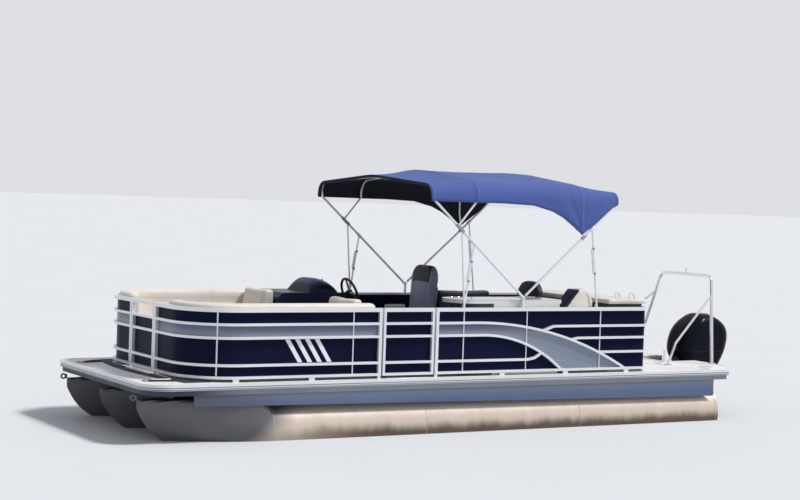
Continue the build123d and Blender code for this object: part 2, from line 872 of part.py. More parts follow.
# Columns: side, aft end of the base and back, aft face of the recliner
lounges = (
    (1, 1175, 1265),
    (-1, console_front_x + 15, console_front_x + 20),
)
with BuildPart() as lounge_bases:
    for side, aft_x, recliner_x in lounges:
        toe = (aft_x, far_forward, *span(side, lounge_inner_y + toe_depth, far_out))
        body = (aft_x, far_forward, *span(side, lounge_inner_y, far_out))
        rise(inside(furniture_inset, toe), furniture_foot, furniture_foot + toe_height)
        rise(inside(furniture_inset, body), furniture_foot + toe_height, base_top_z)
lounge_bases.part.label = "lounge_bases"
export_step(lounge_bases.part, "parts/lounge_bases.step")

seat_inset = furniture_inset + lounge_back_thickness + seat_gap
with BuildPart() as lounge_seats:
    for side, aft_x, recliner_x in lounges:
        window = (
            recliner_x + recliner_foot_depth + seat_gap,
            far_forward,
            *span(side, lounge_inner_y - cushion_overhang, far_out),
        )
        rise(inside(seat_inset, window), base_top_z + seat_gap, seat_top_z)
    fillet(level_edges(lounge_seats.part, seat_top_z), radius=cushion_edge)
lounge_seats.part.label = "lounge_seats"
export_step(lounge_seats.part, "parts/lounge_seats.step")

with BuildPart() as lounge_backs:
    for side, aft_x, recliner_x in lounges:
        window = (aft_x, far_forward, *span(side, lounge_inner_y, far_out))
        rise(
            ring(fence_outline, furniture_inset, furniture_inset + lounge_back_thickness, [window]),
            base_top_z + seat_gap,
            back_top_z,
        )
        with BuildSketch(upright(side * recliner_outer_y)) as recliner:
            with BuildLine():
                Polyline(
                    (recliner_x, base_top_z + seat_gap),
                    (recliner_x, recliner_top_z),
                    (recliner_x + recliner_top_depth, recliner_top_z),
                    (recliner_x + recliner_foot_depth, seat_top_z),
                    (recliner_x + recliner_foot_depth, base_top_z + seat_gap),
                    close=True,
                )
            make_face()
        extrude(recliner.sketch, amount=side * (recliner_outer_y - lounge_inner_y))
    fillet(level_edges(lounge_backs.part, back_top_z), radius=cushion_edge)
    fillet(level_edges(lounge_backs.part, recliner_top_z), radius=cushion_edge)
lounge_backs.part.label = "lounge_backs"
export_step(lounge_backs.part, "parts/lounge_backs.step")

# Helm console: a moulded box with a sloping dash and a knee recess, and the wheel's column
console_outer_y = -(fence_half - furniture_inset)
wheel_turn = math.radians(wheel_tilt)
wheel_axis = Vector(-math.cos(wheel_turn), 0, math.sin(wheel_turn))
column_radius = 32
column_gap = 26
column_length = 220
shaft_radius = 10
shaft_depth = 90
column_end = Vector(*wheel_centre) - wheel_axis * column_gap
column_plane = Plane(origin=column_end, x_dir=(0, 1, 0), z_dir=-wheel_axis)
with BuildPart() as helm_console:
    with BuildSketch(upright(console_inner_y)):
        with BuildLine():
            Polyline(
                (640, furniture_foot),
                (640, 1040),
                (550, 1130),
                (560, 1180),
                (690, console_top_z),
                (console_front_x - 50, console_top_z),
                (console_front_x, console_top_z - 50),
                (console_front_x, furniture_foot),
                close=True,
            )
        make_face()
    extrude(amount=console_inner_y - console_outer_y)
    with BuildSketch(column_plane):
        Circle(column_radius)
    extrude(amount=column_length)
    with BuildSketch(column_plane):
        Circle(shaft_radius + running_clearance)
    extrude(amount=shaft_depth + 5, mode=Mode.SUBTRACT)
helm_console.part.label = "helm_console"
export_step(helm_console.part, "parts/helm_console.step")

# Dark hood and screen on the console
hood_front_x = 1050
hood_aft_x = 700
hood_inset = 50
with BuildPart() as console_hood:
    with BuildSketch(upright(console_inner_y - hood_inset)):
        with BuildLine():
            Polyline(
                (hood_aft_x, console_top_z + seat_gap),
                (905, 1446),
                (975, 1438),
                (hood_front_x, console_top_z + seat_gap),
                close=True,
            )
        make_face()
    extrude(amount=console_inner_y - console_outer_y - 2 * hood_inset)
console_hood.part.label = "console_hood"
export_step(console_hood.part, "parts/console_hood.step")

# Steering wheel with three spokes, its hub and its shaft
rim_radius = 14
hub_radius = 42
hub_half = 20
spoke_width = 34
spoke_half = 4
wheel_plane = Plane(origin=wheel_centre, x_dir=(0, 1, 0), z_dir=wheel_axis)
with BuildPart(wheel_plane) as steering_wheel:
    Torus(wheel_radius - rim_radius, rim_radius)
    with BuildSketch(wheel_plane):
        with PolarLocations(0, 3, start_angle=-90):
            Rectangle(wheel_radius - rim_radius, spoke_width, align=(Align.MIN, Align.CENTER))
    extrude(amount=spoke_half, both=True)
    with BuildSketch(wheel_plane):
        Circle(hub_radius)
    extrude(amount=hub_half, both=True)
    with BuildSketch(wheel_plane):
        Circle(shaft_radius)
    extrude(amount=-(column_gap + shaft_depth))
steering_wheel.part.label = "steering_wheel"
export_step(steering_wheel.part, "parts/steering_wheel.step")

# Pedestals of the two chairs, each with a bore for the chair's stem
pedestal_top_z = 850
flange_radius = 150
flange_thickness = 8
stem_depth = 90
with BuildPart() as chair_pedestals:
    for place in chair_places:
        rise(disc(*place, flange_radius), furniture_foot, furniture_foot + flange_thickness)
        rise(disc(*place, pedestal_radius), furniture_foot, pedestal_top_z)
        bore = disc(*place, stem_radius + running_clearance)
        rise(bore, pedestal_top_z - stem_depth - 2, pedestal_top_z, mode=Mode.SUBTRACT)
chair_pedestals.part.label = "chair_pedestals"
export_step(chair_pedestals.part, "parts/chair_pedestals.step")

# Chairs: stem, plate, seat shell with its cushion, reclined back and, at the helm, arms
plate_radius = 110
shell_bottom_z = 890
chair_seat_top_z = 1050
back_recline = 5
# Columns: name, centre, seat behind and ahead of it, seat width, back thickness, width, top, corner, arms
chairs = (
    ("helm_chair", chair_places[0], 230, 270, 540, 110, 470, 1600, 110, True),
    ("companion_chair", chair_places[1], 190, 250, 500, 110, 460, 1465, 190, False),
)
for name, centre, behind, ahead, width, thickness, back_width, back_top, corner, arms in chairs:
    chair_x, chair_y = centre
    plate_z = pedestal_top_z + seat_gap
    with BuildPart() as chair:
        rise(disc(*centre, stem_radius), pedestal_top_z - stem_depth, plate_z)
        rise(disc(*centre, plate_radius), plate_z, shell_bottom_z)
        with BuildSketch(Plane.XY.offset(shell_bottom_z)) as seat_plan:
            with Locations((chair_x + (ahead - behind) / 2, chair_y)):
                RectangleRounded(ahead + behind, width, 90)
        extrude(seat_plan.sketch, amount=chair_seat_top_z - shell_bottom_z)
        lean = math.radians(back_recline)
        back_plane = Plane(
            origin=(chair_x - behind - thickness + 30, chair_y, shell_bottom_z),
            x_dir=(0, 1, 0),
            z_dir=(math.cos(lean), 0, math.sin(lean)),
        )
        back_height = back_top - shell_bottom_z
        with BuildSketch(back_plane) as back_face:
            with Locations((0, back_height / 2)):
                outline = Rectangle(back_width, back_height)
            fillet(back_face.vertices().group_by(Axis.Y)[-1], radius=corner)
        extrude(back_face.sketch, amount=thickness)
        if arms:
            for side in (1, -1):
                arm_y = chair_y + side * (width / 2 - 8)
                rise(
                    box_window(chair_x - behind + 20, chair_x + 60, arm_y - 25, arm_y + 25),
                    shell_bottom_z + 40,
                    1140,
                )
    chair.part.label = name
    export_step(chair.part, f"parts/{name}.step")

# Port cabinet, rounded at its forward end, and its counter
cabinet_front_x = 130
cabinet_aft_x = -1020
cabinet_inner_y = 720
cabinet_top_z = 1295
cabinet_round = 130
counter_front_x = 230
counter_aft_x = -1040
counter_inner_y = 700
counter_round = 200
counter_top_z = 1335
with BuildPart() as cabinet:
    rise(
        inside(furniture_inset, (cabinet_aft_x, cabinet_front_x, cabinet_inner_y, far_out)),
        furniture_foot,
        cabinet_top_z,
    )
    front_edges = cabinet.edges().filter_by(Axis.Z).group_by(Axis.X)[-1]
    fillet(front_edges, radius=cabinet_round)
cabinet.part.label = "cabinet"
export_step(cabinet.part, "parts/cabinet.step")

with BuildPart() as counter:
    rise(
        inside(furniture_inset, (counter_aft_x, counter_front_x, counter_inner_y, far_out)),
        cabinet_top_z + seat_gap,
        counter_top_z,
    )
    front_edges = counter.edges().filter_by(Axis.Z).group_by(Axis.X)[-1]
    fillet(front_edges, radius=counter_round)
counter.part.label = "counter"
export_step(counter.part, "parts/counter.step")

# Port aft seat: base, seat cushion, side bolster with a slanted front, and a low back
aft_seat_front_x = -1062
aft_seat_back_x = -1650
aft_seat_inner_y = 550
bolster_inner_y = 960
bolster_aft_x = -1475
low_back_x = -1520
low_back_top_z = 1230
aft_seat_top_z = 1000
with BuildPart() as aft_seat_base:
    body = (aft_seat_back_x, aft_seat_front_x, aft_seat_inner_y, far_out)
    toe = (aft_seat_back_x, aft_seat_front_x, aft_seat_inner_y + toe_depth, far_out)
    rise(inside(furniture_inset, toe), furniture_foot, furniture_foot + toe_height)
    rise(inside(furniture_inset, body), furniture_foot + toe_height, base_top_z)
aft_seat_base.part.label = "aft_seat_base"
export_step(aft_seat_base.part, "parts/aft_seat_base.step")

cushion_foot = base_top_z + seat_gap
with BuildPart() as aft_seat_cushions:
    seat_end_y = bolster_inner_y - seat_gap
    rise(
        box_window(low_back_x + seat_gap, aft_seat_front_x, aft_seat_inner_y, seat_end_y),
        cushion_foot,
        aft_seat_top_z,
    )
    rise(box_window(aft_seat_back_x, low_back_x, aft_seat_inner_y, seat_end_y), cushion_foot, low_back_top_z)
    with BuildSketch(upright(fence_half - furniture_inset)) as bolster:
        with BuildLine():
            Polyline(
                (aft_seat_front_x, cushion_foot),
                (aft_seat_front_x, 1225),
                (-1272, 1452),
                (-1335, 1460),
                (-1420, 1400),
                (bolster_aft_x, 1325),
                (bolster_aft_x, cushion_foot),
                close=True,
            )
        make_face()
    extrude(bolster.sketch, amount=fence_half - furniture_inset - bolster_inner_y)
    rise(
        box_window(aft_seat_back_x, bolster_aft_x - seat_gap, bolster_inner_y, fence_half - furniture_inset),
        cushion_foot,
        low_back_top_z,
    )
aft_seat_cushions.part.label = "aft_seat_cushions"
export_step(aft_seat_cushions.part, "parts/aft_seat_cushions.step")

# Sundeck: a base with a shaded recess under its lid, and the pad on the lid
sundeck_front_x = -1660
sundeck_starboard_y = -460
sundeck_recess_z = 1235
sundeck_recess = 28
sundeck_top_z = 1285
pad_top_z = 1345
pad_inset = 15
with BuildPart() as sundeck_base:
    body = (far_aft, sundeck_front_x, sundeck_starboard_y, far_out)
    neck = (far_aft, sundeck_front_x - sundeck_recess, sundeck_starboard_y + sundeck_recess, far_out)
    rise(inside(furniture_inset, body), furniture_foot, sundeck_recess_z)
    rise(inside(furniture_inset + sundeck_recess, neck), sundeck_recess_z, sundeck_top_z)
sundeck_base.part.label = "sundeck_base"
export_step(sundeck_base.part, "parts/sundeck_base.step")

with BuildPart() as sundeck_pad:
    lid = (far_aft, sundeck_front_x + pad_inset, sundeck_starboard_y - pad_inset, far_out)
    rise(inside(pad_inset, lid), sundeck_top_z + seat_gap, pad_top_z)
    fillet(level_edges(sundeck_pad.part, pad_top_z), radius=22)
sundeck_pad.part.label = "sundeck_pad"
export_step(sundeck_pad.part, "parts/sundeck_pad.step")

# Starboard lounge behind the helm chair
side_lounge_front_x = -880
side_lounge_aft_x = -1625
side_lounge_inner_y = -600
with BuildPart() as side_lounge_base:
    body = (side_lounge_aft_x, side_lounge_front_x, -far_out, side_lounge_inner_y)
    toe = (side_lounge_aft_x, side_lounge_front_x, -far_out, side_lounge_inner_y - toe_depth)
    rise(inside(furniture_inset, toe), furniture_foot, furniture_foot + toe_height)
    rise(inside(furniture_inset, body), furniture_foot + toe_height, base_top_z)
side_lounge_base.part.label = "side_lounge_base"
export_step(side_lounge_base.part, "parts/side_lounge_base.step")

side_back_y = -(fence_half - furniture_inset - lounge_back_thickness)
with BuildPart() as side_lounge_cushions:
    rise(
        box_window(side_lounge_aft_x, side_lounge_front_x, side_back_y + seat_gap, side_lounge_inner_y),
        cushion_foot,
        seat_top_z,
    )
    rise(
        inside(furniture_inset, (side_lounge_aft_x, side_lounge_front_x, -far_out, side_back_y)),
        cushion_foot,
        back_top_z,
    )
    for height in (seat_top_z, back_top_z):
        fillet(level_edges(side_lounge_cushions.part, height), radius=cushion_edge)
side_lounge_cushions.part.label = "side_lounge_cushions"
export_step(side_lounge_cushions.part, "parts/side_lounge_cushions.step")

# Sun canopy: one cloth over four bows. Columns: place, edge, corner and crown heights, corner radius
canopy_stations = (
    (620, 2330, 2500, 2590, 140),
    (80, 2330, 2540, 2670, 170),
    (-620, 2330, 2550, 2690, 180),
    (-1000, 2200, 2550, 2690, 200),
    (-1240, 2020, 2530, 2670, 200),
    (-1704, 2355, 2475, 2560, 100),
)
crown_radius = 2500
canopy_gap = 3
bow_depth = canopy_thickness + bow_tube_radius + canopy_gap
leg_y = canopy_half - canopy_thickness - bow_tube_radius - seat_gap


def canopy_line(station, depth):
    """Corner points and radii of the cloth's section, at a depth below its outer face."""
    x, edge_z, corner_z, crown_z, corner_radius = station
    slope = math.atan2(crown_z - corner_z, canopy_half)
    inner_half = canopy_half - depth
    inner_corner_z = corner_z + depth * math.tan(slope) - depth / math.cos(slope)
    inner_crown_z = crown_z - depth / math.cos(slope)
    points = [
        (inner_half, edge_z),
        (inner_half, inner_corner_z),
        (0, inner_crown_z),
        (-inner_half, inner_corner_z),
        (-inner_half, edge_z),
    ]
    return points, [corner_radius - depth, crown_radius - depth, corner_radius - depth]


def canopy_section(station):
    """The closed section of the cloth at one station."""
    outer_points, outer_radii = canopy_line(station, 0)
    inner_points, inner_radii = canopy_line(station, canopy_thickness)
    plane = Plane(origin=(station[0], 0, 0), x_dir=(0, 1, 0), z_dir=(1, 0, 0))
    with BuildSketch(plane) as section:
        with BuildLine():
            outer = FilletPolyline(*outer_points, radius=outer_radii)
            inner = FilletPolyline(*inner_points, radius=inner_radii)
            Line(outer @ 0, inner @ 0)
            Line(outer @ 1, inner @ 1)
        make_face()
    return section.sketch


with BuildPart() as canopy:
    loft([canopy_section(station) for station in canopy_stations], ruled=True)
canopy.part.label = "canopy"
export_step(canopy.part, "parts/canopy.step")


def tube(points, radii, radius):
    """A round tube along a run of points, with a bend at each inner one."""
    with BuildLine() as run:
        if radii:
            FilletPolyline(*points, radius=radii)
        else:
            Line(*points)
    with BuildSketch(Plane(origin=run.line @ 0, z_dir=run.line % 0)) as end:
        Circle(radius)
    sweep(end.sketch, path=run.wires()[0])


def canopy_bow(foot, knee, station, tube_size, knee_radius):
    """One bow: a leg on each side, and the crossing just below the cloth."""
    x = station[0]
    points, radii = canopy_line(station, bow_depth)
    half = leg_y
    crossing = [(x, half, points[1][1]), (x, 0, points[2][1]), (x, -half, points[3][1])]
    legs = [(foot[0], half, foot[1]), (knee[0], half, knee[1])]
    far_legs = [(knee[0], -half, knee[1]), (foot[0], -half, foot[1])]
    corner = station[4] - tube_size
    bends = [knee_radius, corner, radii[1], corner, knee_radius]
    tube(legs + crossing + far_legs, bends, tube_size)


inner_bow_radius = 11
pivot_eye_radius = 16
pivot_spacing = 32
rail_block_size = 22
front_knee = (576, 2330)
rear_knee = (-1672, 2335)
front_bow_station = (606, *canopy_stations[0][1:])
rear_bow_station = (-1690, *canopy_stations[5][1:])
front_slope = (front_knee[1] - pivot_z) / (front_knee[0] - pivot_x)
rear_slope = (rear_knee[1] - pivot_z) / (rear_knee[0] - pivot_x)
rear_run = math.hypot(rear_knee[0] - pivot_x, rear_knee[1] - pivot_z)
rear_foot = (
    pivot_x + pivot_spacing * (rear_knee[0] - pivot_x) / rear_run,
    pivot_z + pivot_spacing * (rear_knee[1] - pivot_z) / rear_run,
)
front_strut_x = 189
rear_strut_x = -1477
rail_block_y = fence_half - frame_depth / 2
block_foot = frame_top + seat_gap


def front_leg_height(x):
    """Height of the front leg's centre line."""
    return pivot_z + front_slope * (x - pivot_x)


def rear_leg_height(x):
    """Height of the rear leg's centre line."""
    return pivot_z + rear_slope * (x - pivot_x)


def rail_block(x, side, top):
    """A block on the top rail that carries the foot of a strut or a bow."""
    half = rail_block_size / 2
    rise(
        box_window(x - half, x + half, side * rail_block_y - half, side * rail_block_y + half),
        block_foot,
        top,
    )


inner_front_foot_x = 293
inner_rear_foot_x = -1273
with BuildPart() as canopy_frame_front:
    canopy_bow((pivot_x, pivot_z), front_knee, front_bow_station, bow_tube_radius, 60)
    inner_foot = (inner_front_foot_x, front_leg_height(inner_front_foot_x))
    canopy_bow(inner_foot, (85, 2330), canopy_stations[1], inner_bow_radius, 40)
    for side in (1, -1):
        rail_block(pivot_x, side, pivot_z - 8)
        with BuildSketch(upright(side * leg_y + pivot_eye_radius)) as eye:
            with Locations((pivot_x, pivot_z)):
                Circle(pivot_eye_radius)
        extrude(eye.sketch, amount=2 * pivot_eye_radius)
        rail_block(front_strut_x, side, block_foot + 30)
        for top_x in (92, 247):
            foot = (front_strut_x, side * leg_y, block_foot + 15)
            tube([foot, (top_x, side * leg_y, front_leg_height(top_x))], None, strut_radius)
canopy_frame_front.part.label = "canopy_frame_front"
export_step(canopy_frame_front.part, "parts/canopy_frame_front.step")

with BuildPart() as canopy_frame_rear:
    canopy_bow(rear_foot, rear_knee, rear_bow_station, bow_tube_radius, 60)
    inner_foot = (inner_rear_foot_x, rear_leg_height(inner_rear_foot_x))
    canopy_bow(inner_foot, (-1242, 2190), canopy_stations[4], inner_bow_radius, 40)
    for side in (1, -1):
        rail_block(rear_strut_x, side, block_foot + 30)
        foot = (rear_strut_x, side * leg_y, block_foot + 15)
        tube([foot, (-1383, side * leg_y, rear_leg_height(-1383))], None, strut_radius)
canopy_frame_rear.part.label = "canopy_frame_rear"
export_step(canopy_frame_rear.part, "parts/canopy_frame_rear.step")

# Tow bar: a raked hoop over the motor with two braces and a rope pin
arch_bend = 95
arch_brace_radius = 12.7
flange_size = 40
arch_flange_low = deck_top + rub_rail_lip + seat_gap
arch_flange_high = arch_flange_low + 12
brace_flange_low = deck_top + seat_gap
brace_flange_high = brace_flange_low + 10
leg_start_z = arch_flange_high - 3
rope_pin_radius = 14
rope_pin_height = 70
brace_share = (arch_brace_z - leg_start_z) / (arch_top[2] - leg_start_z)
brace_top_x = arch_foot[0] + brace_share * (arch_top[0] - arch_foot[0])
brace_top_y = arch_foot[1] + brace_share * (arch_top[1] - arch_foot[1])
with BuildPart() as tow_bar:
    tube(
        [
            (arch_foot[0], arch_foot[1], leg_start_z),
            arch_top,
            (arch_top[0], -arch_top[1], arch_top[2]),
            (arch_foot[0], -arch_foot[1], leg_start_z),
        ],
        [arch_bend, arch_bend],
        arch_tube_radius,
    )
    for side in (1, -1):
        rise(disc(arch_foot[0], side * arch_foot[1], flange_size), arch_flange_low, arch_flange_high)
        brace_x, brace_y = arch_brace_foot
        rise(disc(brace_x, side * brace_y, flange_size), brace_flange_low, brace_flange_high)
        tube(
            [
                (brace_top_x, side * brace_top_y, arch_brace_z),
                (arch_brace_kink[0], side * arch_brace_kink[1], arch_brace_kink[2]),
                (brace_x, side * brace_y, brace_flange_high - 3),
            ],
            [60],
            arch_brace_radius,
        )
    rise(disc(arch_top[0], 0, rope_pin_radius), arch_top[2], arch_top[2] + rope_pin_height)
    rise(
        disc(arch_top[0], 0, rope_pin_radius * 1.7),
        arch_top[2] + rope_pin_height - 8,
        arch_top[2] + rope_pin_height,
    )
tow_bar.part.label = "tow_bar"
export_step(tow_bar.part, "parts/tow_bar.step")

# Cleats: in the bow pockets and on the stern corners. Columns: place, turn, height of the seat
cleat_length = 190
cleat_base = (110, 36, 6)
horn_lift = 22
horn_thickness = 13
pocket_floor = deck_top - pocket_depth
cleats_table = (
    (pocket_place, pocket_turn, pocket_floor),
    ((-3010, 1200), 0, deck_top),
)
with BuildPart() as cleats:
    for (cleat_x, cleat_y), turn, seat in cleats_table:
        for side in (1, -1):
            angle = math.radians(side * turn)
            base_plane = Plane(
                origin=(cleat_x, side * cleat_y, seat + seat_gap),
                x_dir=(math.cos(angle), math.sin(angle), 0),
                z_dir=(0, 0, 1),
            )
            with BuildSketch(base_plane) as base:
                SlotOverall(cleat_base[0], cleat_base[1])
            extrude(base.sketch, amount=cleat_base[2])
            with BuildSketch(base_plane) as posts:
                with GridLocations(56, 0, 2, 1):
                    Circle(8)
            extrude(posts.sketch, amount=horn_lift + 2)
            with BuildSketch(base_plane.offset(horn_lift)) as horn:
                SlotOverall(cleat_length, 20)
            extrude(horn.sketch, amount=horn_thickness)
cleats.part.label = "cleats"
export_step(cleats.part, "parts/cleats.step")

# Transom bracket of the motor: two arms that hook over the transom and carry the tilt tube
arm_inner_y = 120
arm_thickness = 30
hook_thickness = 13
hook_bottom_z = 386
with BuildPart() as transom_bracket:
    for side in (1, -1):
        with BuildSketch(upright(side * (arm_inner_y + arm_thickness))) as arm:
            with BuildLine():
                Polyline(
                    (transom_aft_x - seat_gap, 60),
                    (transom_aft_x - seat_gap, transom_top_z + seat_gap),
                    (transom_front_x + seat_gap, transom_top_z + seat_gap),
                    (transom_front_x + seat_gap, hook_bottom_z),
                    (transom_front_x + seat_gap + hook_thickness, hook_bottom_z),
                    (transom_front_x + seat_gap + hook_thickness, transom_top_z + hook_thickness),
                    (tilt_pin_x + 15, tilt_pin_z + 42),
                    (tilt_pin_x - 38, tilt_pin_z + 15),
                    (tilt_pin_x - 38, tilt_pin_z - 25),
                    (transom_aft_x - 30, 300),
                    (transom_aft_x - 30, 60),
                    close=True,
                )
            make_face()
            with Locations((tilt_pin_x, tilt_pin_z)):
                Circle(tilt_pin_radius + running_clearance, mode=Mode.SUBTRACT)
        extrude(arm.sketch, amount=side * arm_thickness)
transom_bracket.part.label = "transom_bracket"
export_step(transom_bracket.part, "parts/transom_bracket.step")

# Swivel bracket: the tilt tube, a web and the tube that the king pin turns in
barrel_r = 27
steer_tube_radius = 40
lower_arm_top = 38
upper_arm_bottom = 362
arm_depth = 38
web_half = 45
with BuildPart() as swivel_bracket:
    with BuildSketch(upright(arm_inner_y + arm_thickness + 5)) as pin:
        with Locations((tilt_pin_x, tilt_pin_z)):
            Circle(tilt_pin_radius)
    extrude(pin.sketch, amount=2 * (arm_inner_y + arm_thickness + 5))
    with BuildSketch(upright(arm_inner_y - seat_gap)) as barrel:
        with Locations((tilt_pin_x, tilt_pin_z)):
            Circle(barrel_r)
    extrude(barrel.sketch, amount=2 * (arm_inner_y - seat_gap))
    with BuildSketch(upright(web_half)) as web:
        with BuildLine():
            Polyline(
                (tilt_pin_x + 20, tilt_pin_z),
                (tilt_pin_x - 28, tilt_pin_z + 12),
                (steer_x + 50, upper_arm_bottom - 10),
                (steer_x, upper_arm_bottom - 10),
                (steer_x, lower_arm_top + 20),
                (steer_x + 45, lower_arm_top + 20),
                (tilt_pin_x + 5, 300),
                close=True,
            )
        make_face()
    extrude(web.sketch, amount=2 * web_half)
    rise(disc(steer_x, 0, steer_tube_radius), lower_arm_top + seat_gap, upper_arm_bottom - seat_gap)
    rise(
        disc(steer_x, 0, king_pin_radius + running_clearance),
        lower_arm_top,
        upper_arm_bottom,
        mode=Mode.SUBTRACT,
    )
swivel_bracket.part.label = "swivel_bracket"
export_step(swivel_bracket.part, "parts/swivel_bracket.step")


def oval(front, rear, half, share, height):
    """A rounded plan section of the motor between two places along the boat."""
    with BuildSketch(Plane.XY.offset(height)) as level:
        with Locations(((front + rear) / 2, 0)):
            RectangleRounded(front - rear, 2 * half, half * share)
    return level.sketch


# Motor leg: king pin with its arms, tapering leg, plate above the propeller, gearcase and skeg
# Columns: height, front, rear, half width
leg_sections = (
    (470, -3602, -3985, 130),
    (300, -3614, -3950, 108),
    (60, -3622, -3900, 80),
    (-180, -3628, -3865, 52),
    (prop_z, -3650, -3850, 28),
)
gearcase_radius = 57
gearcase_front_x = -3520
gearcase_rear_x = -3980
gearcase_end_radius = 44
plate_z = -205
plate_thickness = 10
hub_length = 125
propeller_end_x = gearcase_rear_x - seat_gap - hub_length
with BuildPart() as motor_leg:
    loft([oval(front, rear, half, 0.8, height) for height, front, rear, half in leg_sections])
    for low in (lower_arm_top - arm_depth, upper_arm_bottom):
        rise(disc(steer_x, 0, steer_tube_radius), low, low + arm_depth)
        rise(box_window(-3680, steer_x, -steer_tube_radius, steer_tube_radius), low, low + arm_depth)
    rise(disc(steer_x, 0, king_pin_radius), lower_arm_top - arm_depth, upper_arm_bottom + arm_depth)
    with BuildSketch(Plane.XY.offset(plate_z)) as plate:
        with Locations((-3830, 0)):
            RectangleRounded(470, 210, 70)
    extrude(plate.sketch, amount=plate_thickness)
    with BuildSketch(upright(0)) as torpedo:
        with BuildLine():
            nose = ThreePointArc(
                (gearcase_front_x, prop_z),
                (gearcase_front_x - 34, prop_z + 40),
                (gearcase_front_x - 110, prop_z + gearcase_radius),
            )
            Polyline(
                nose @ 1,
                (-3860, prop_z + gearcase_radius),
                (gearcase_rear_x, prop_z + gearcase_end_radius),
                (gearcase_rear_x, prop_z),
                nose @ 0,
            )
        make_face()
    revolve(torpedo.sketch, axis=Axis((0, 0, prop_z), (1, 0, 0)))
    with BuildSketch(upright(6)) as skeg:
        with BuildLine():
            Polyline(
                (-3630, prop_z - 30),
                (-3880, prop_z - 30),
                (-3925, -600),
                (-3880, -618),
                (-3740, -560),
                close=True,
            )
        make_face()
    extrude(skeg.sketch, amount=12)
    with BuildSketch(Plane.YZ.offset(gearcase_rear_x + 10)) as shaft:
        with Locations((0, prop_z)):
            Circle(prop_shaft_radius)
    extrude(shaft.sketch, amount=propeller_end_x - gearcase_rear_x - 20)
    with BuildSketch(Plane.YZ.offset(propeller_end_x - seat_gap)) as nut:
        with Locations((0, prop_z)):
            RegularPolygon(20, 6)
    extrude(nut.sketch, amount=-14)
motor_leg.part.label = "motor_leg"
export_step(motor_leg.part, "parts/motor_leg.step")

# Cowl: chin, slanted front, domed top. Columns: height, front, rear, half width
cowl_sections = (
    (470.3, -3600, -4150, 150),
    (560, -3570, -4185, 185),
    (640, -3535, -4215, 205),
    (780, -3548, -4245, 222),
    (900, -3600, -4235, 220),
    (1000, -3690, -4160, 195),
    (1060, -3770, -4060, 150),
    (1092, -3840, -3990, 70),
)
with BuildPart() as motor_cowl:
    loft([oval(front, rear, half, 0.7, height) for height, front, rear, half in cowl_sections])
motor_cowl.part.label = "motor_cowl"
export_step(motor_cowl.part, "parts/motor_cowl.step")

# Propeller: a hub and three blades twisted to one pitch. Columns: radius, chord, thickness
blade_sections = (
    (30, 96, 14),
    (80, 128, 10),
    (130, 134, 7),
    (prop_radius - 6, 76, 4),
)
propeller_pitch = 430
propeller_hub_radius = 42
blade_x = (gearcase_rear_x + propeller_end_x) / 2
with BuildPart() as blade:
    blade_levels = []
    for radius, chord, thickness in blade_sections:
        twist = math.degrees(math.atan2(propeller_pitch, 2 * math.pi * radius))
        with BuildSketch(Plane.XY.offset(prop_z + radius)) as level:
            with Locations(Location((blade_x, 0, 0), (0, 0, 90 - twist))):
                Polygon(
                    (-chord / 2, 0),
                    (-chord / 4, -thickness / 2),
                    (chord / 4, -thickness / 2),
                    (chord / 2, 0),
                    (chord / 4, thickness / 2),
                    (-chord / 4, thickness / 2),
                    align=None,
                )
        blade_levels.append(level.sketch)
    loft(blade_levels)
with BuildPart() as propeller:
    with BuildSketch(Plane.YZ.offset(gearcase_rear_x - seat_gap)):
        with Locations((0, prop_z)):
            Circle(propeller_hub_radius)
    extrude(amount=-hub_length)
    for index in range(3):
        add(blade.part.rotate(Axis((0, 0, prop_z), (1, 0, 0)), index * 120))
    with BuildSketch(Plane.YZ.offset(gearcase_rear_x)):
        with Locations((0, prop_z)):
            Circle(prop_shaft_radius + running_clearance)
    extrude(amount=-(hub_length + 10), mode=Mode.SUBTRACT)
propeller.part.label = "propeller"
export_step(propeller.part, "parts/propeller.step")
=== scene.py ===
import math
import bmesh
import bpy
from mathutils import Matrix, Vector


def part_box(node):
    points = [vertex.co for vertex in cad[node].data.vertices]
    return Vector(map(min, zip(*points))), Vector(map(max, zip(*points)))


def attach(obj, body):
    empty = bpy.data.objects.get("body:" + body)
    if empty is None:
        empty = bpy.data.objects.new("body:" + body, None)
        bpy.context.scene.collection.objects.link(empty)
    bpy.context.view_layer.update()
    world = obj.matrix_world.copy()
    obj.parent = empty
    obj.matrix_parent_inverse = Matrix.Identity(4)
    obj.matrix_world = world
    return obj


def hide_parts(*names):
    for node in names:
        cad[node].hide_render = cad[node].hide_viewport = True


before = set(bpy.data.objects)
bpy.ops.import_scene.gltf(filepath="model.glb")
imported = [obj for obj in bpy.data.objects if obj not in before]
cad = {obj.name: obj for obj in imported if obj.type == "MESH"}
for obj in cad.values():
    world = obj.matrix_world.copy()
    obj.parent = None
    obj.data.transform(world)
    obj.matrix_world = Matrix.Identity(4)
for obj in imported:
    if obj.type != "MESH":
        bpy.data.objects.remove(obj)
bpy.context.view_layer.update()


# The view of the photograph: a long lens from the port bow, about 18 m off and a little above
# the rails. The frame is 800 by 500.
camera_place = Vector((9.5834, 15.8472, 2.3477))
camera_yaw = -0.532
camera_pitch = 0.0304
camera_roll = 0.0338
camera_lens = 77.45
sight = Vector(
    (
        math.sin(camera_yaw) * math.cos(camera_pitch),
        -math.cos(camera_yaw) * math.cos(camera_pitch),
        -math.sin(camera_pitch),
    )
)
level_right = sight.cross(Vector((0, 0, 1))).normalized()
level_up = level_right.cross(sight)
right = level_right * math.cos(camera_roll) + level_up * math.sin(camera_roll)
up = level_up * math.cos(camera_roll) - level_right * math.sin(camera_roll)
camera = bpy.data.objects.new("camera", bpy.data.cameras.new("camera"))
camera.matrix_world = Matrix.Translation(camera_place) @ Matrix((right, up, -sight)).transposed().to_4x4()
camera.data.lens = camera_lens
camera.data.clip_end = 2000
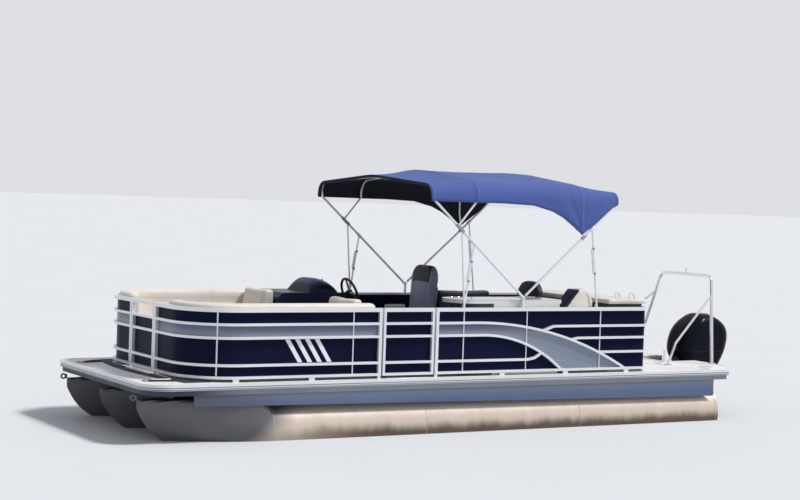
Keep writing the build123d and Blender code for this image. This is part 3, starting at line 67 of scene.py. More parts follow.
bpy.context.scene.collection.objects.link(camera)
bpy.context.scene.camera = camera
bpy.context.scene.view_settings.view_transform = "Standard"


# The plain pale floor lies at the waterline and the pale backdrop is the world itself.
# One soft sun and an even sky light the boat at a plain level.
class Channel:
    """A socket in a set of nodes, on which sums can be written."""

    def __init__(self, wiring, socket):
        self.wiring = wiring
        self.socket = socket

    def sum(self, operation, first, second):
        return self.wiring.node("ShaderNodeMath", {"operation": operation}, [first, second])

    def __add__(self, other):
        return self.sum("ADD", self, other)

    def __radd__(self, other):
        return self.sum("ADD", other, self)

    def __sub__(self, other):
        return self.sum("SUBTRACT", self, other)

    def __rsub__(self, other):
        return self.sum("SUBTRACT", other, self)

    def __mul__(self, other):
        return self.sum("MULTIPLY", self, other)

    def __rmul__(self, other):
        return self.sum("MULTIPLY", other, self)

    def __truediv__(self, other):
        return self.sum("DIVIDE", self, other)

    def __mod__(self, other):
        return self.sum("FLOORED_MODULO", self, other)

    def __gt__(self, other):
        return self.sum("GREATER_THAN", self, other)

    def __abs__(self):
        return self.sum("ABSOLUTE", self, 0)

    def rise(self, low, high):
        """0 below low, 1 above high, and smooth between them."""
        settings = {"interpolation_type": "SMOOTHSTEP"}
        return self.wiring.node("ShaderNodeMapRange", settings, [self, low, high, 0, 1])


class Wiring:
    """The nodes of a material or of the world."""

    def __init__(self, tree):
        self.tree = tree

    def node(self, kind, settings=None, inputs=(), output=0):
        """A node with its settings made first, then its inputs; gives one of its outputs."""
        made = self.tree.nodes.new(kind)
        for key, value in (settings or {}).items():
            setattr(made, key, value)
        pairs = inputs.items() if isinstance(inputs, dict) else enumerate(inputs)
        for key, value in pairs:
            if isinstance(value, Channel):
                self.tree.links.new(value.socket, made.inputs[key])
            else:
                made.inputs[key].default_value = value
        return Channel(self, made.outputs[output])

    def mix(self, share, first, second):
        """A colour between two colours."""
        return self.node("ShaderNodeMix", {"data_type": "RGBA"}, {0: share, 6: first, 7: second}, 2)


def shade(red, green, blue):
    """A colour from its eight-bit values."""
    parts = []
    for value in (red, green, blue):
        value /= 255
        parts.append(value / 12.92 if value <= 0.04045 else ((value + 0.055) / 1.055) ** 2.4)
    return (*parts, 1)


class Finish(Wiring):
    """A finish over one Principled shader, laid out in the boat's own metres."""

    def __init__(self, name, color, roughness=0.5, metallic=0.0, **constants):
        self.material = bpy.data.materials.new(name)
        self.material.use_nodes = True
        super().__init__(self.material.node_tree)
        self.shader = self.tree.nodes["Principled BSDF"]
        self.place = self.node("ShaderNodeTexCoord", {}, (), "Object")
        self.x = self.node("ShaderNodeSeparateXYZ", {}, [self.place], "X")
        self.y = self.node("ShaderNodeSeparateXYZ", {}, [self.place], "Y")
        self.z = self.node("ShaderNodeSeparateXYZ", {}, [self.place], "Z")
        self.set("Base Color", color)
        self.set("Roughness", roughness)
        self.set("Metallic", metallic)
        for socket, value in constants.items():
            self.set(socket.replace("_", " "), value)

    def set(self, socket, value):
        """Set one of the shader's sockets to a constant or join it to a channel."""
        if isinstance(value, Channel):
            self.tree.links.new(value.socket, self.shader.inputs[socket])
        else:
            self.shader.inputs[socket].default_value = value

    def noise(self, scale, detail=3.0, stretch=(1, 1, 1)):
        """Uneven grey from 0 to 1: a larger scale is finer, a smaller stretch draws it out along an axis."""
        place = self.node("ShaderNodeVectorMath", {"operation": "MULTIPLY"}, [self.place, stretch])
        return self.node("ShaderNodeTexNoise", {}, {"Vector": place, "Scale": scale, "Detail": detail})

    def bump(self, height, depth, strength=1.0):
        """Raise the surface by a height from 0 to 1, times a depth in metres."""
        inputs = {"Height": height, "Distance": depth, "Strength": strength}
        self.set("Normal", self.node("ShaderNodeBump", {}, inputs))

    def grain(self, scale, depth):
        """An even fine grain, such as cast, moulded or brushed surfaces have."""
        self.bump(self.noise(scale, 2), depth)

    def paint(self, share, first, second):
        """Colour the surface between two colours."""
        self.set("Base Color", self.mix(share, first, second))

    def on(self, *names):
        """Put the finish on nodes of the frame."""
        for name in names:
            for place in cad[name].material_slots:
                place.material = self.material
        return self


floor_half = 500
floor_paint = Finish("pale_floor", shade(214, 216, 218), 0.85, Specular_IOR_Level=0.2)
floor_tone = floor_paint.mix(floor_paint.noise(0.6), shade(212, 214, 216), shade(217, 219, 221))
floor_paint.set("Base Color", floor_tone)
floor_mesh = bpy.data.meshes.new("floor_at_waterline")
floor_corners = [(-floor_half, -floor_half, 0), (floor_half, -floor_half, 0)]
floor_corners += [(floor_half, floor_half, 0), (-floor_half, floor_half, 0)]
floor_mesh.from_pydata(floor_corners, [], [(0, 1, 2, 3)])
floor_mesh.materials.append(floor_paint.material)
floor = bpy.data.objects.new("floor_at_waterline", floor_mesh)
bpy.context.scene.collection.objects.link(floor)

world = bpy.data.worlds.new("pale_studio")
bpy.context.scene.world = world
world.use_nodes = True
sky = Wiring(world.node_tree)
seen = sky.node("ShaderNodeLightPath", {}, (), "Is Camera Ray")
mirrored = sky.node("ShaderNodeLightPath", {}, (), "Is Glossy Ray")
through = sky.node("ShaderNodeLightPath", {}, (), "Is Transmission Ray")
direct = (seen + mirrored + through) > 0.5
backdrop = world.node_tree.nodes["Background"]
sky_color = sky.mix(direct, shade(203, 207, 214), shade(226, 228, 231))
sky_strength = 0.72
backdrop_strength = 0.96
world.node_tree.links.new(sky_color.socket, backdrop.inputs["Color"])
sky_level = direct * (backdrop_strength - sky_strength) + sky_strength
world.node_tree.links.new(sky_level.socket, backdrop.inputs["Strength"])
sun_data = bpy.data.lights.new("soft_sun", "SUN")
sun_data.energy = 2.9
sun_data.angle = math.radians(9)
sun = bpy.data.objects.new("soft_sun", sun_data)
sun.rotation_mode = "QUATERNION"
sun.rotation_quaternion = Vector((0.62, -0.42, -1.0)).to_track_quat("-Z", "Y")
bpy.context.scene.collection.objects.link(sun)


# Three aluminium tubes, rolled from sheet and welded, with pressed noses painted dark grey as shade. They
# stand in water for weeks, so a tan scum and brown streaks cover the metal near the waterline; that dark
# brown is partly scum and partly painted shadow and reflected water.
tube_radius = 0.3175
tube_spacing = 0.95
tube_centre_z = 0.0825
weld_places = (2.31, 0.62, -1.27, -3.13)
nose_start = 2.31
tube_finish = Finish("tube_aluminium", shade(176, 172, 164), 0.38, 0.75)
streaks = tube_finish.noise(7, 4, (1, 1, 0.12))
patches = tube_finish.noise(2.2, 5)
tide = tube_finish.z + (patches - 0.5) * 0.10 + (streaks - 0.5) * 0.09
aft_of_nose = 1 - tube_finish.x.rise(1.2, 2.6)
# The dark brown low on the tubes is partly scum and partly painted shadow and reflected water.
wet_shade_and_scum = (1 - tide.rise(0.03, 0.14)) * (aft_of_nose * 0.85 + 0.15)
dried = 1 - tide.rise(0.14, 0.30)
# The noses are painted dark grey as shade, up to a slanted line along the tube.
nose_edge = tube_finish.x + tube_finish.z * 1.2
nose_shade_share = nose_edge.rise(nose_start - 0.05, nose_start + 0.35)
metal_color = tube_finish.mix(streaks, shade(190, 178, 170), shade(218, 206, 196))
shaded_nose_color = tube_finish.mix(patches, shade(84, 86, 92), shade(112, 112, 114))
dry_color = tube_finish.mix(dried * 0.55, metal_color, shade(204, 186, 166))
side_color = tube_finish.mix(nose_shade_share, dry_color, shaded_nose_color)
tube_finish.paint(wet_shade_and_scum * 0.9, side_color, shade(74, 54, 38))
tube_finish.set("Metallic", 0.45 - 0.15 * dried - 0.2 * wet_shade_and_scum)
tube_finish.set("Roughness", 0.42 + 0.18 * dried + 0.15 * patches)
tube_finish.bump(tube_finish.noise(3, 2, (1, 1, 0.3)), 0.004, 0.5)
tube_finish.on("pontoon_port", "pontoon_centre", "pontoon_starboard", "tow_eyes")


def piece(name, mesh, finish, body):
    """Show a mesh as a piece that rides on a body and takes a slot's finish."""
    mesh.materials.append(finish.material)
    made = bpy.data.objects.new(name, mesh)
    bpy.context.scene.collection.objects.link(made)
    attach(made, body)
    return made


def smoothed(mesh, sharp_angle=40):
    """Smooth shading, with edges sharper than an angle left crisp."""
    mesh.shade_smooth()
    mesh.set_sharp_from_angle(angle=math.radians(sharp_angle))
    return mesh


def meshed(name, made):
    """Close the work on a mesh and give the mesh."""
    mesh = bpy.data.meshes.new(name)
    made.to_mesh(mesh)
    made.free()
    return mesh


def once_round(count):
    """Even angles once round a circle."""
    return [2 * math.pi * step / count for step in range(count)]


def rods(name, runs, radius, finish, body, sides=10):
    """Round rods along runs of points; a run whose last point is its first is a closed ring."""
    made = bmesh.new()
    for points in runs:
        points = [Vector(p) for p in points]
        closed = (points[0] - points[-1]).length < 1e-6
        if closed:
            points = points[:-1]
        count = len(points)
        rings = []
        reference = None
        for index, point in enumerate(points):
            before = points[index - 1] if index or closed else point
            after = points[(index + 1) % count] if index < count - 1 or closed else point
            along = (after - before).normalized()
            if reference is None:
                reference = along.orthogonal()
            across = (reference - along * reference.dot(along)).normalized()
            reference = across
            other = along.cross(across)
            spokes = [across * math.cos(a) + other * math.sin(a) for a in once_round(sides)]
            rings.append([made.verts.new(point + radius * spoke) for spoke in spokes])
        for index in range(count if closed else count - 1):
            ring, following = rings[index], rings[(index + 1) % count]
            shift = 0
            if closed and index == count - 1:
                gaps = [(ring[0].co - v.co).length for v in following]
                shift = gaps.index(min(gaps))
            following = following[shift:] + following[:shift]
            for side in range(sides):
                far = (side + 1) % sides
                made.faces.new((ring[side], ring[far], following[far], following[side]))
        if not closed:
            made.faces.new(rings[0][::-1])
            made.faces.new(rings[-1])
    bmesh.ops.recalc_face_normals(made, faces=made.faces)
    return piece(name, smoothed(meshed(name, made), 60), finish, body)


bead_finish = Finish("weld_bead", shade(186, 180, 172), 0.5, 0.4)
bead_finish.grain(300, 0.0006)
bead_radius = 0.003
bead_runs = []
for tube_y in (tube_spacing, 0, -tube_spacing):
    for weld_x in weld_places:
        bead = [
            (weld_x, tube_y + tube_radius * math.cos(a), tube_centre_z + tube_radius * math.sin(a))
            for a in once_round(64)
        ]
        bead_runs.append(bead + bead[:1])
rods("tube_welds", bead_runs, bead_radius, bead_finish, "hull", 6)


# Cross members, saddles, the motor's mount and the edge channel are mill-finish extrusions and
# plate, dull and a little spotted.
mill_finish = Finish("mill_aluminium", shade(150, 152, 154), 0.5, 0.7)
mill_grain = mill_finish.noise(6, 4, (0.2, 1, 1))
mill_color = mill_finish.mix(mill_grain, shade(120, 122, 128), shade(164, 167, 174))
# Painted shade: the metal under the bow is darker.
bow_shade_share = mill_finish.x.rise(2.5, 3.3)
mill_finish.paint(bow_shade_share, mill_color, shade(66, 70, 82))
mill_finish.set("Roughness", 0.42 + 0.2 * mill_grain)
mill_finish.bump(mill_finish.noise(90, 2, (0.1, 1, 1)), 0.0004)
mill_finish.on("cross_members", "risers", "motor_mount", "platform_beams", "edge_channel", "chair_pedestals")

# The deck plate is painted white over ply and faced with a fine grit; its bow corners carry a moulded pocket
# for each cleat, whose floor is painted dark as shade.
deck_top = 0.56
deck_finish = Finish("deck_white", shade(214, 214, 211), 0.55, 0.0, Specular_IOR_Level=0.35)
deck_dirt = deck_finish.noise(1.7, 6)
deck_face = deck_finish.mix(deck_dirt.rise(0.35, 0.75), shade(233, 233, 231), shade(216, 215, 210))
# Painted shade on the floor of each cleat pocket.
pocket_shade_share = deck_finish.z.rise(0.5578, 0.5594)
deck_finish.paint(pocket_shade_share, shade(52, 50, 46), deck_face)
deck_finish.set("Roughness", 0.5 + 0.2 * deck_dirt)
deck_finish.bump(deck_finish.noise(420, 2), 0.0007, 0.6)
deck_finish.on("deck")

# The rub rail is one white extrusion round the deck with two grooves, and below it blue-grey
# splash skirts run between the tubes and the deck.
rail_finish = Finish("rub_rail_white", shade(212, 214, 216), 0.32, 0.0, Coat_Weight=0.2)
groove_fade = 0.002
# The two grooves are painted dark as the shade in them.
upper_groove = (0.006 - abs(rail_finish.z - 0.531)).rise(0, groove_fade)
lower_groove = (0.004 - abs(rail_finish.z - 0.515)).rise(0, groove_fade)
grooves = upper_groove + lower_groove
rail_dirt = rail_finish.noise(5, 4, (0.3, 0.3, 1))
rail_face = rail_finish.mix(rail_dirt, shade(234, 235, 237), shade(212, 214, 218))
rail_side = rail_finish.mix(1 - rail_finish.z.rise(0.508, 0.526), rail_face, shade(150, 158, 174))
rail_finish.paint(grooves * 0.85, rail_side, shade(96, 104, 120))
rail_finish.bump(1 - grooves, 0.003)
rail_finish.on("rub_rail")
skirt_finish = Finish("skirt_blue_grey", shade(84, 102, 134), 0.4, 0.1, Coat_Weight=0.1)
skirt_wave = skirt_finish.noise(1.6, 3, (0.35, 1, 1))
# Painted light: the skirts are lighter towards their tops.
lit = skirt_finish.z.rise(0.33, 0.47)
skirt_low = skirt_finish.mix(skirt_wave, shade(66, 82, 116), shade(92, 110, 144))
skirt_color = skirt_finish.mix(lit * 0.7, skirt_low, shade(118, 126, 142))
# Painted shade: the skirts are darker under the flare of the bow.
flare_shade_share = skirt_finish.x.rise(2.0, 3.1)
skirt_finish.paint(flare_shade_share, skirt_color, shade(74, 80, 96))
skirt_finish.set("Roughness", 0.28 + 0.18 * skirt_wave)
skirt_finish.bump(skirt_finish.noise(1.1, 2, (0.4, 1, 1)), 0.006, 0.5)
skirt_finish.on("side_skirts")

# The cockpit is laid with woven vinyl in a tan weave, and a navy mat of the same weave covers the
# deck at the bow gate.
woven_finish = Finish("woven_floor", shade(128, 122, 112), 0.75)
strand = 0.006


def lattice(first, second, pitch):
    """Crossing threads or a grid of holes: 0 at the middle of each cell and 1 at its corners."""
    return abs((first % pitch) / pitch - 0.5) + abs((second % pitch) / pitch - 0.5)


over = lattice(woven_finish.x, woven_finish.y, strand)
woven_tone = woven_finish.mix(over.rise(0.25, 0.75), shade(152, 145, 132), shade(92, 86, 78))
woven_dirt = woven_finish.noise(30) * 0.4
woven_finish.paint(woven_dirt, woven_tone, shade(70, 66, 62))
woven_finish.bump(1 - over, 0.001)
woven_finish.on("floor")
mat_finish = Finish("navy_mat", shade(40, 52, 82), 0.8)
mat_over = lattice(mat_finish.x, mat_finish.y, strand)
mat_finish.paint(mat_over.rise(0.25, 0.75), shade(56, 68, 98), shade(26, 34, 60))
mat_finish.bump(1 - mat_over, 0.001)
mat_finish.on("bow_mat")


# Flat fittings: a bright threshold plate under each gate, a clear lens over the docking light in
# each cleat pocket, and the pole and foot of the stern light.
def slab(name, outline, plane, low, high, edge, finish, body, segments=2):
    """A plate with eased edges: an outline in a plane, drawn out between two heights across it."""
    order = {"XY": (0, 1, 2), "XZ": (0, 2, 1), "YZ": (1, 2, 0)}[plane]
    made = bmesh.new()
    layers = []
    for height in (low, high):
        layer = []
        for first, second in outline:
            place = [0, 0, 0]
            place[order[0]], place[order[1]], place[order[2]] = first, second, height
            layer.append(made.verts.new(place))
        layers.append(layer)
    made.faces.new(layers[0])
    made.faces.new(layers[1][::-1])
    count = len(outline)
    for index in range(count):
        far = (index + 1) % count
        made.faces.new((layers[0][index], layers[1][index], layers[1][far], layers[0][far]))
    bmesh.ops.recalc_face_normals(made, faces=made.faces)
    if edge:
        sharp = [e for e in made.edges if e.calc_face_angle(0) > math.radians(25)]
        bmesh.ops.bevel(made, geom=sharp, offset=edge, segments=segments, profile=0.5, affect="EDGES")
    return piece(name, smoothed(meshed(name, made), 50), finish, body)


def box_outline(low_first, high_first, low_second, high_second):
    """The four corners of an upright rectangle."""
    corners = ((low_first, low_second), (high_first, low_second), (high_first, high_second))
    return [*corners, (low_first, high_second)]


bright_finish = Finish("bright_aluminium", shade(228, 230, 234), 0.34, 0.4)
bright_grain = bright_finish.noise(14, 3, (0.1, 0.1, 0.1))
bright_finish.paint(bright_grain, shade(220, 223, 229), shade(240, 241, 243))
bright_finish.set("Roughness", 0.26 + 0.12 * bright_finish.noise(40, 2, (0.1, 1, 1)))
bright_finish.bump(bright_finish.noise(160, 2, (0.06, 1, 1)), 0.0003)
plate_low = deck_top + 0.0003
plate_high = deck_top + 0.004
# Columns: gate, aft and forward edge, starboard and port edge
thresholds = (
    ("bow", 3.120, 3.215, -0.30, 0.30),
    ("side", 0.56, 1.10, 1.19, 1.235),
    ("stern", -2.245, -2.195, -1.06, -0.57),
)
for gate, *edges in thresholds:
    slab(
        f"{gate}_threshold", box_outline(*edges), "XY", plate_low, plate_high, 0.0015,
        bright_finish, "hull",
    )


def turned(name, centre, axis, profile, finish, body, sides=32):
    """A turned fitting: a profile of (radius, distance along the axis) spun round the axis."""
    along = Vector(axis).normalized()
    across = along.orthogonal().normalized()
    other = along.cross(across)
    made = bmesh.new()
    rings = []
    for radius, distance in profile:
        middle = Vector(centre) + along * distance
        if radius < 1e-6:
            rings.append([made.verts.new(middle)])
            continue
        spokes = [across * math.cos(a) + other * math.sin(a) for a in once_round(sides)]
        rings.append([made.verts.new(middle + radius * spoke) for spoke in spokes])
    for ring, following in zip(rings, rings[1:]):
        for side in range(sides):
            far = (side + 1) % sides
            if len(ring) == 1:
                made.faces.new((ring[0], following[far], following[side]))
            elif len(following) == 1:
                made.faces.new((ring[side], ring[far], following[0]))
            else:
                made.faces.new((ring[side], ring[far], following[far], following[side]))
    bmesh.ops.recalc_face_normals(made, faces=made.faces)
    return piece(name, smoothed(meshed(name, made), 35), finish, body)


chrome_finish = Finish("polished_steel", shade(232, 233, 235), 0.09, 1.0)
chrome_finish.set("Roughness", 0.06 + 0.08 * chrome_finish.noise(25, 3))
chrome_finish.on("cleats")
lens_finish = Finish("light_lens", shade(232, 236, 238), 0.12, 0.0, Coat_Weight=0.6)
lens_finish.bump(lens_finish.noise(220, 1, (1, 0.1, 1)), 0.0006)
pocket_place = (3.330, 0.905)
pocket_turn = math.radians(-13)
pocket_half_length = 0.175
pocket_half_width = 0.065
pocket_straight = pocket_half_length - pocket_half_width
rim_half_width = pocket_half_width + 0.004
lens_plan = ((0.125, -0.035), (0.155, -0.022), (0.155, 0.022), (0.125, 0.035))
lens_low = 0.5483
lens_high = 0.566
both_sides = ((1, "port"), (-1, "starboard"))
rim_runs = []
for side, place in both_sides:
    angle = side * pocket_turn
    forward = Vector((math.cos(angle), math.sin(angle), 0))
    across = Vector((-math.sin(angle), math.cos(angle), 0))
    middle = Vector((pocket_place[0], side * pocket_place[1], deck_top + 0.0012))
    rim = []
    for turn in once_round(32):
        end = forward * pocket_straight * (1 if math.cos(turn) >= 0 else -1)
        rim.append(middle + end + (forward * math.cos(turn) + across * math.sin(turn)) * rim_half_width)
    rim_runs.append(rim + rim[:1])
    lens = [middle + forward * ahead + across * aside for ahead, aside in lens_plan]
    slab(
        f"bow_light_{place}", [(p.x, p.y) for p in lens], "XY", lens_low, lens_high, 0.003,
        lens_finish, "hull",
    )
rim_finish = Finish("pocket_rim", shade(70, 72, 76), 0.5)
rim_finish.grain(200, 0.0004)
rods("bow_pocket_rims", rim_runs, 0.004, rim_finish, "hull", 8)
stern_light_foot = (-3.11, 0.36, plate_low)
stern_light_top = (-3.11, 0.36, 0.70)
foot_profile = [(0, 0), (0.03, 0), (0.03, 0.004), (0.012, 0.012), (0, 0.012)]
stern_post = [stern_light_foot, stern_light_top]
rods("stern_light_post", [stern_post], 0.009, bright_finish, "hull")
turned(
    "stern_light_foot", stern_light_foot, (0, 0, 1), foot_profile, chrome_finish, "hull"
)

# Fences and gates: welded square rails, bright anodised, in front of navy sheet. The band between
# two rails is silver and sweeps down aft, and slanted stripes cross the sheet at the bow.
bright_finish.on(
    "fence_bow_port", "fence_bow_starboard", "fence_aft_port", "fence_aft_starboard",
    "bow_gate_frame", "side_gate_frame", "stern_gate_frame", "canopy_frame_front", "canopy_frame_rear",
)
navy_finish = Finish("navy_sheet", shade(18, 22, 48), 0.3, 0.0, Specular_IOR_Level=0.03)
ripple = navy_finish.noise(1.3, 2)
navy_finish.paint(ripple, shade(14, 17, 40), shade(23, 28, 56))
navy_finish.set("Roughness", 0.24 + 0.16 * navy_finish.noise(3, 3))
navy_finish.bump(ripple, 0.010, 0.5)
navy_finish.on("panels_bow", "panels_aft", "bow_gate_panel", "side_gate_panel", "stern_gate_panel")
silver_finish = Finish("silver_band", shade(110, 118, 138), 0.32, 0.35, Specular_IOR_Level=0.35)
# Painted shade: the band is darker towards its top.
band_top_shade = silver_finish.z.rise(0.985, 1.085)
sweep_fall = silver_finish.x.rise(-1.7, -0.3)
band_low = silver_finish.mix(sweep_fall, shade(126, 136, 158), shade(134, 140, 156))
silver_finish.paint(band_top_shade * 0.9, band_low, shade(84, 92, 116))
silver_finish.set("Roughness", 0.26 + 0.1 * silver_finish.noise(4, 3))
silver_finish.on("silver_bands")
stripe_finish = Finish("pale_stripe", shade(232, 234, 240), 0.4, 0.1)
stripe_finish.set("Roughness", 0.3 + 0.1 * stripe_finish.noise(20))
stripe_finish.on("side_stripes")

# Ribs pressed into the lower part of the swept band: thin raised lines between the arc of the
# band and the straight edge of its wedge, shorter towards the top.
sweep_start_x = -0.05
sweep_start_z = 0.976
sweep_radius = 1.5235
wedge_top = (-0.66, 0.895)
wedge_end = (-1.50, 0.625)
fence_half = 1.213
rib_face = fence_half - 0.0305
rib_proud = 0.0016
rib_shortest = 0.03
rib_end_gap = 0.012
rib_height = 0.006
rib_pitch = 0.0235
rib_finish = Finish("ribbed_silver", shade(162, 170, 184), 0.28, 0.6)
rib_finish.set("Roughness", 0.24 + 0.1 * rib_finish.noise(30, 2))
ribs = bmesh.new()
rib_z = wedge_end[1]
while rib_z < wedge_top[1]:
    arc_x = sweep_start_x - math.sqrt(sweep_radius**2 - (rib_z - sweep_start_z + sweep_radius) ** 2)
    share = (rib_z - wedge_end[1]) / (wedge_top[1] - wedge_end[1])
    line_x = wedge_end[0] + share * (wedge_top[0] - wedge_end[0])
    if arc_x - line_x > rib_shortest:
        for side in (1, -1):
            place = Vector(((arc_x + line_x) / 2, side * (rib_face + rib_proud / 2), rib_z))
            size = Vector((arc_x - line_x - rib_end_gap, rib_proud, rib_height))
            rib_frame = Matrix.Translation(place) @ Matrix.Diagonal((*size, 1))
            bmesh.ops.create_cube(ribs, size=1, matrix=rib_frame)
    rib_z += rib_pitch
piece("sweep_ribs", meshed("sweep_ribs", ribs), rib_finish, "hull")

# Each gate shuts on a spring latch, a black moulded block near the top of its free post that
# swings with the gate.
latch_finish = Finish("latch_black", shade(26, 27, 30), 0.35)
latch_finish.grain(300, 0.0003)
latch_low = 1.108
latch_high = 1.152
# Columns: gate, plane that the latch lies in, its two ends along the gate, its back and its face
latches = (
    ("side_gate", "XZ", 1.075, 1.112, 1.158, 1.1805),
    ("bow_gate", "YZ", 0.235, 0.272, 3.115, 3.1375),
    ("stern_gate", "YZ", -0.605, -0.57, -2.1875, -2.165),
)
for gate, plane, first_end, last_end, back, face in latches:
    slab(
        f"{gate}_latch", box_outline(first_end, last_end, latch_low, latch_high), plane, back, face, 0.003,
        latch_finish, gate,
    )


# Seats. The bases are moulded in white plastic, with painted shade in the recess at the foot, and each
# carries a speaker behind a round grille.
moulded_finish = Finish("moulded_white", shade(206, 203, 194), 0.4, 0.0, Coat_Weight=0.1)
toe_shade = moulded_finish.z.rise(0.645, 0.662)
moulded_dirt = moulded_finish.noise(4, 5)
moulded_face = moulded_finish.mix(moulded_dirt, shade(212, 209, 200), shade(192, 189, 180))
moulded_finish.paint(toe_shade, shade(86, 84, 80), moulded_face)
moulded_finish.set("Roughness", 0.34 + 0.16 * moulded_dirt)
moulded_finish.grain(260, 0.0004)
moulded_finish.on("lounge_bases", "aft_seat_base", "side_lounge_base")
grille_finish = Finish("speaker_grille", shade(30, 31, 34), 0.5)
holes = lattice(grille_finish.x, grille_finish.z, 0.008)
grille_finish.paint(holes.rise(0.3, 0.5), shade(12, 12, 13), shade(64, 66, 70))
grille_finish.bump(holes, 0.0015)
grille_profile = [
    (0, 0.004), (0.04, 0.008), (0.072, 0.006), (0.078, 0.006), (0.086, 0.004), (0.086, 0), (0, 0)
]
grille_y = 0.4997
grille_z = 0.762
for (side, place), speaker_x in zip(both_sides, (1.62, 2.1)):
    turned(
        f"speaker_{place}", (speaker_x, side * grille_y, grille_z), (0, -side, 0), grille_profile,
        grille_finish, "hull",
    )


# Cushions are foam under vinyl. Each is cut a little small and blown up as cloth over its filling, and
# rests flat on its base; some have piping sewn round them and channels sewn across them.
def grained(name, color, worn):
    """Marine vinyl: fine leather grain, a soft sheen and slight soiling."""
    made = Finish(name, color, 0.42, 0.0, Sheen_Weight=0.05, Specular_IOR_Level=0.2)
    soil = made.noise(3.5, 5)
    made.paint(soil.rise(0.4, 0.8), color, worn)
    made.set("Roughness", 0.36 + 0.18 * soil)
    cells = made.node("ShaderNodeTexVoronoi", {"feature": "F1"}, {"Vector": made.place, "Scale": 320})
    made.bump(cells, 0.0006, 0.6)
    return made


cream_vinyl = grained("cream_vinyl", shade(226, 217, 208), shade(209, 199, 189))
navy_vinyl = grained("navy_vinyl", shade(26, 30, 48), shade(36, 41, 60))
# The grey-blue vinyl is cream vinyl painted darker as shade.
shaded_cream_vinyl = grained("shaded_cream_vinyl", shade(138, 145, 168), shade(120, 127, 150))


def applied(made):
    """Replace a piece's mesh by what its modifiers make of it."""
    graph = bpy.context.evaluated_depsgraph_get()
    mesh = bpy.data.meshes.new_from_object(made.evaluated_get(graph))
    made.modifiers.clear()
    made.data = mesh
    return mesh


cloth_frames = 20
air_pressure = 4
stretch_stiffness = 20
bend_stiffness = 1.5
least_move = 1e-6
finest_voxel = 0.009
coarsest_voxel = 0.018
voxels_across = 32
off_base = 0.0002


def stuffed(name, outline, plane, low, high, edge, grain, body="hull", puff=0.012):
    """A cushion: drawn in a little, remeshed, and blown up as cloth by no more than its puff."""
    middle = Vector((sum(p[0] for p in outline), sum(p[1] for p in outline))) / len(outline)
    spread = max((Vector(p) - middle).length for p in outline)
    tuck = 1 - puff * 0.8 / spread
    drawn = [tuple(middle + (Vector(p) - middle) * tuck) for p in outline]
    made = slab(name, drawn, plane, low + puff * 0.5, high - puff * 0.5, edge, grain, body, 3)
    remesh = made.modifiers.new("even", "REMESH")
    remesh.mode = "VOXEL"
    mean_size = (spread * (high - low)) ** 0.5
    remesh.voxel_size = min(coarsest_voxel, max(finest_voxel, mean_size / voxels_across))
    remesh.use_smooth_shade = True
    mesh = applied(made)
    before = [v.co.copy() for v in mesh.vertices]
    cloth = made.modifiers.new("cloth", "CLOTH")
    cloth.settings.quality = 3
    cloth.settings.use_pressure = True
    cloth.settings.uniform_pressure_force = air_pressure
    cloth.settings.effector_weights.gravity = 0
    cloth.settings.tension_stiffness = stretch_stiffness
    cloth.settings.bending_stiffness = bend_stiffness
    cloth.point_cache.frame_start = 1
    cloth.point_cache.frame_end = cloth_frames
    for step in range(cloth_frames):
        bpy.context.scene.frame_set(step + 1)
    mesh = applied(made)
    bpy.context.scene.frame_set(1)
    moves = [v.co - start for v, start in zip(mesh.vertices, before)]
    farthest = max(move.length for move in moves)
    for vertex, start, move in zip(mesh.vertices, before, moves):
        vertex.co = start + move * min(1, puff / max(farthest, least_move))
    bottom = low if plane == "XY" else min(v.co.z for v in mesh.vertices)
    for vertex in mesh.vertices:
        vertex.co.z = max(vertex.co.z, bottom + off_base)
    mesh.shade_smooth()
    return made


def upper(vertex):
    """Whether a point is on a cushion's upper face."""
    return vertex.normal.z > 0.3


def sewn(made, axis, places, depth=0.006, width=0.016, faces=None):
    """Draw the surface in along lines across the cushion, where its panels are sewn together."""
    sunk = []
    for vertex in made.data.vertices:
        for place in places:
            near = abs(vertex.co[axis] - place) / width
            if near < 1 and (faces is None or faces(vertex)):
                sunk.append((vertex, vertex.co - vertex.normal * depth * (1 - near * near) ** 2))
    for vertex, place in sunk:
        vertex.co = place


piping_radius = 0.0035


def piping(name, made, points, grain, body="hull"):
    """Piping laid on a cushion: the points are brought to its surface and evened out."""
    laid = []
    for point in points:
        place, normal = made.closest_point_on_mesh(Vector(point))[1:3]
        laid.append(place + normal * piping_radius * 0.5)
    smooth_run = []
    closed = (Vector(points[0]) - Vector(points[-1])).length < 1e-6
    for index, point in enumerate(laid):
        before = laid[index - 1] if index else (laid[-2] if closed else point)
        after = laid[index + 1] if index < len(laid) - 1 else (laid[1] if closed else point)
        smooth_run.append((before + point * 2 + after) / 4)
    if closed:
        smooth_run[-1] = smooth_run[0]
    return rods(name, [smooth_run], piping_radius, grain, body, 8)


def round_run(corners, height, step=0.03):
    """Points along a closed outline at one height."""
    run = []
    for first, second in zip(corners, corners[1:] + corners[:1]):
        count = max(1, round((Vector(second) - Vector(first)).length / step))
        for index in range(count):
            x, y = Vector(first).lerp(Vector(second), index / count)
            run.append((x, y, height))
    return run + [run[0]]


fence_bow = 3.17
fence_corner = 0.55


def bow_corner(inset, side, steps=10):
    """The fence's rounded bow corner, drawn in by an inset."""
    radius = fence_corner - inset
    turn = [math.pi / 2 * (1 - step / steps) for step in range(steps + 1)]
    centre_x = fence_bow - fence_corner
    centre_y = fence_half - fence_corner
    return [(centre_x + radius * math.cos(a), side * (centre_y + radius * math.sin(a))) for a in turn]


seat_low = 0.8603
seat_high = 0.99
seat_inset = 0.1733
seat_inner_y = 0.488
recliner_low_y = 0.5
recliner_high_y = 1.035
recliner_foot = 0.185
recliner_top = 0.105
recliner_high = 1.34
recliner_seam = 0.13
panel_low = 1.05
panel_high = 1.28
panel_side = 0.05
panel_lean = 0.028
panel_steps = 12
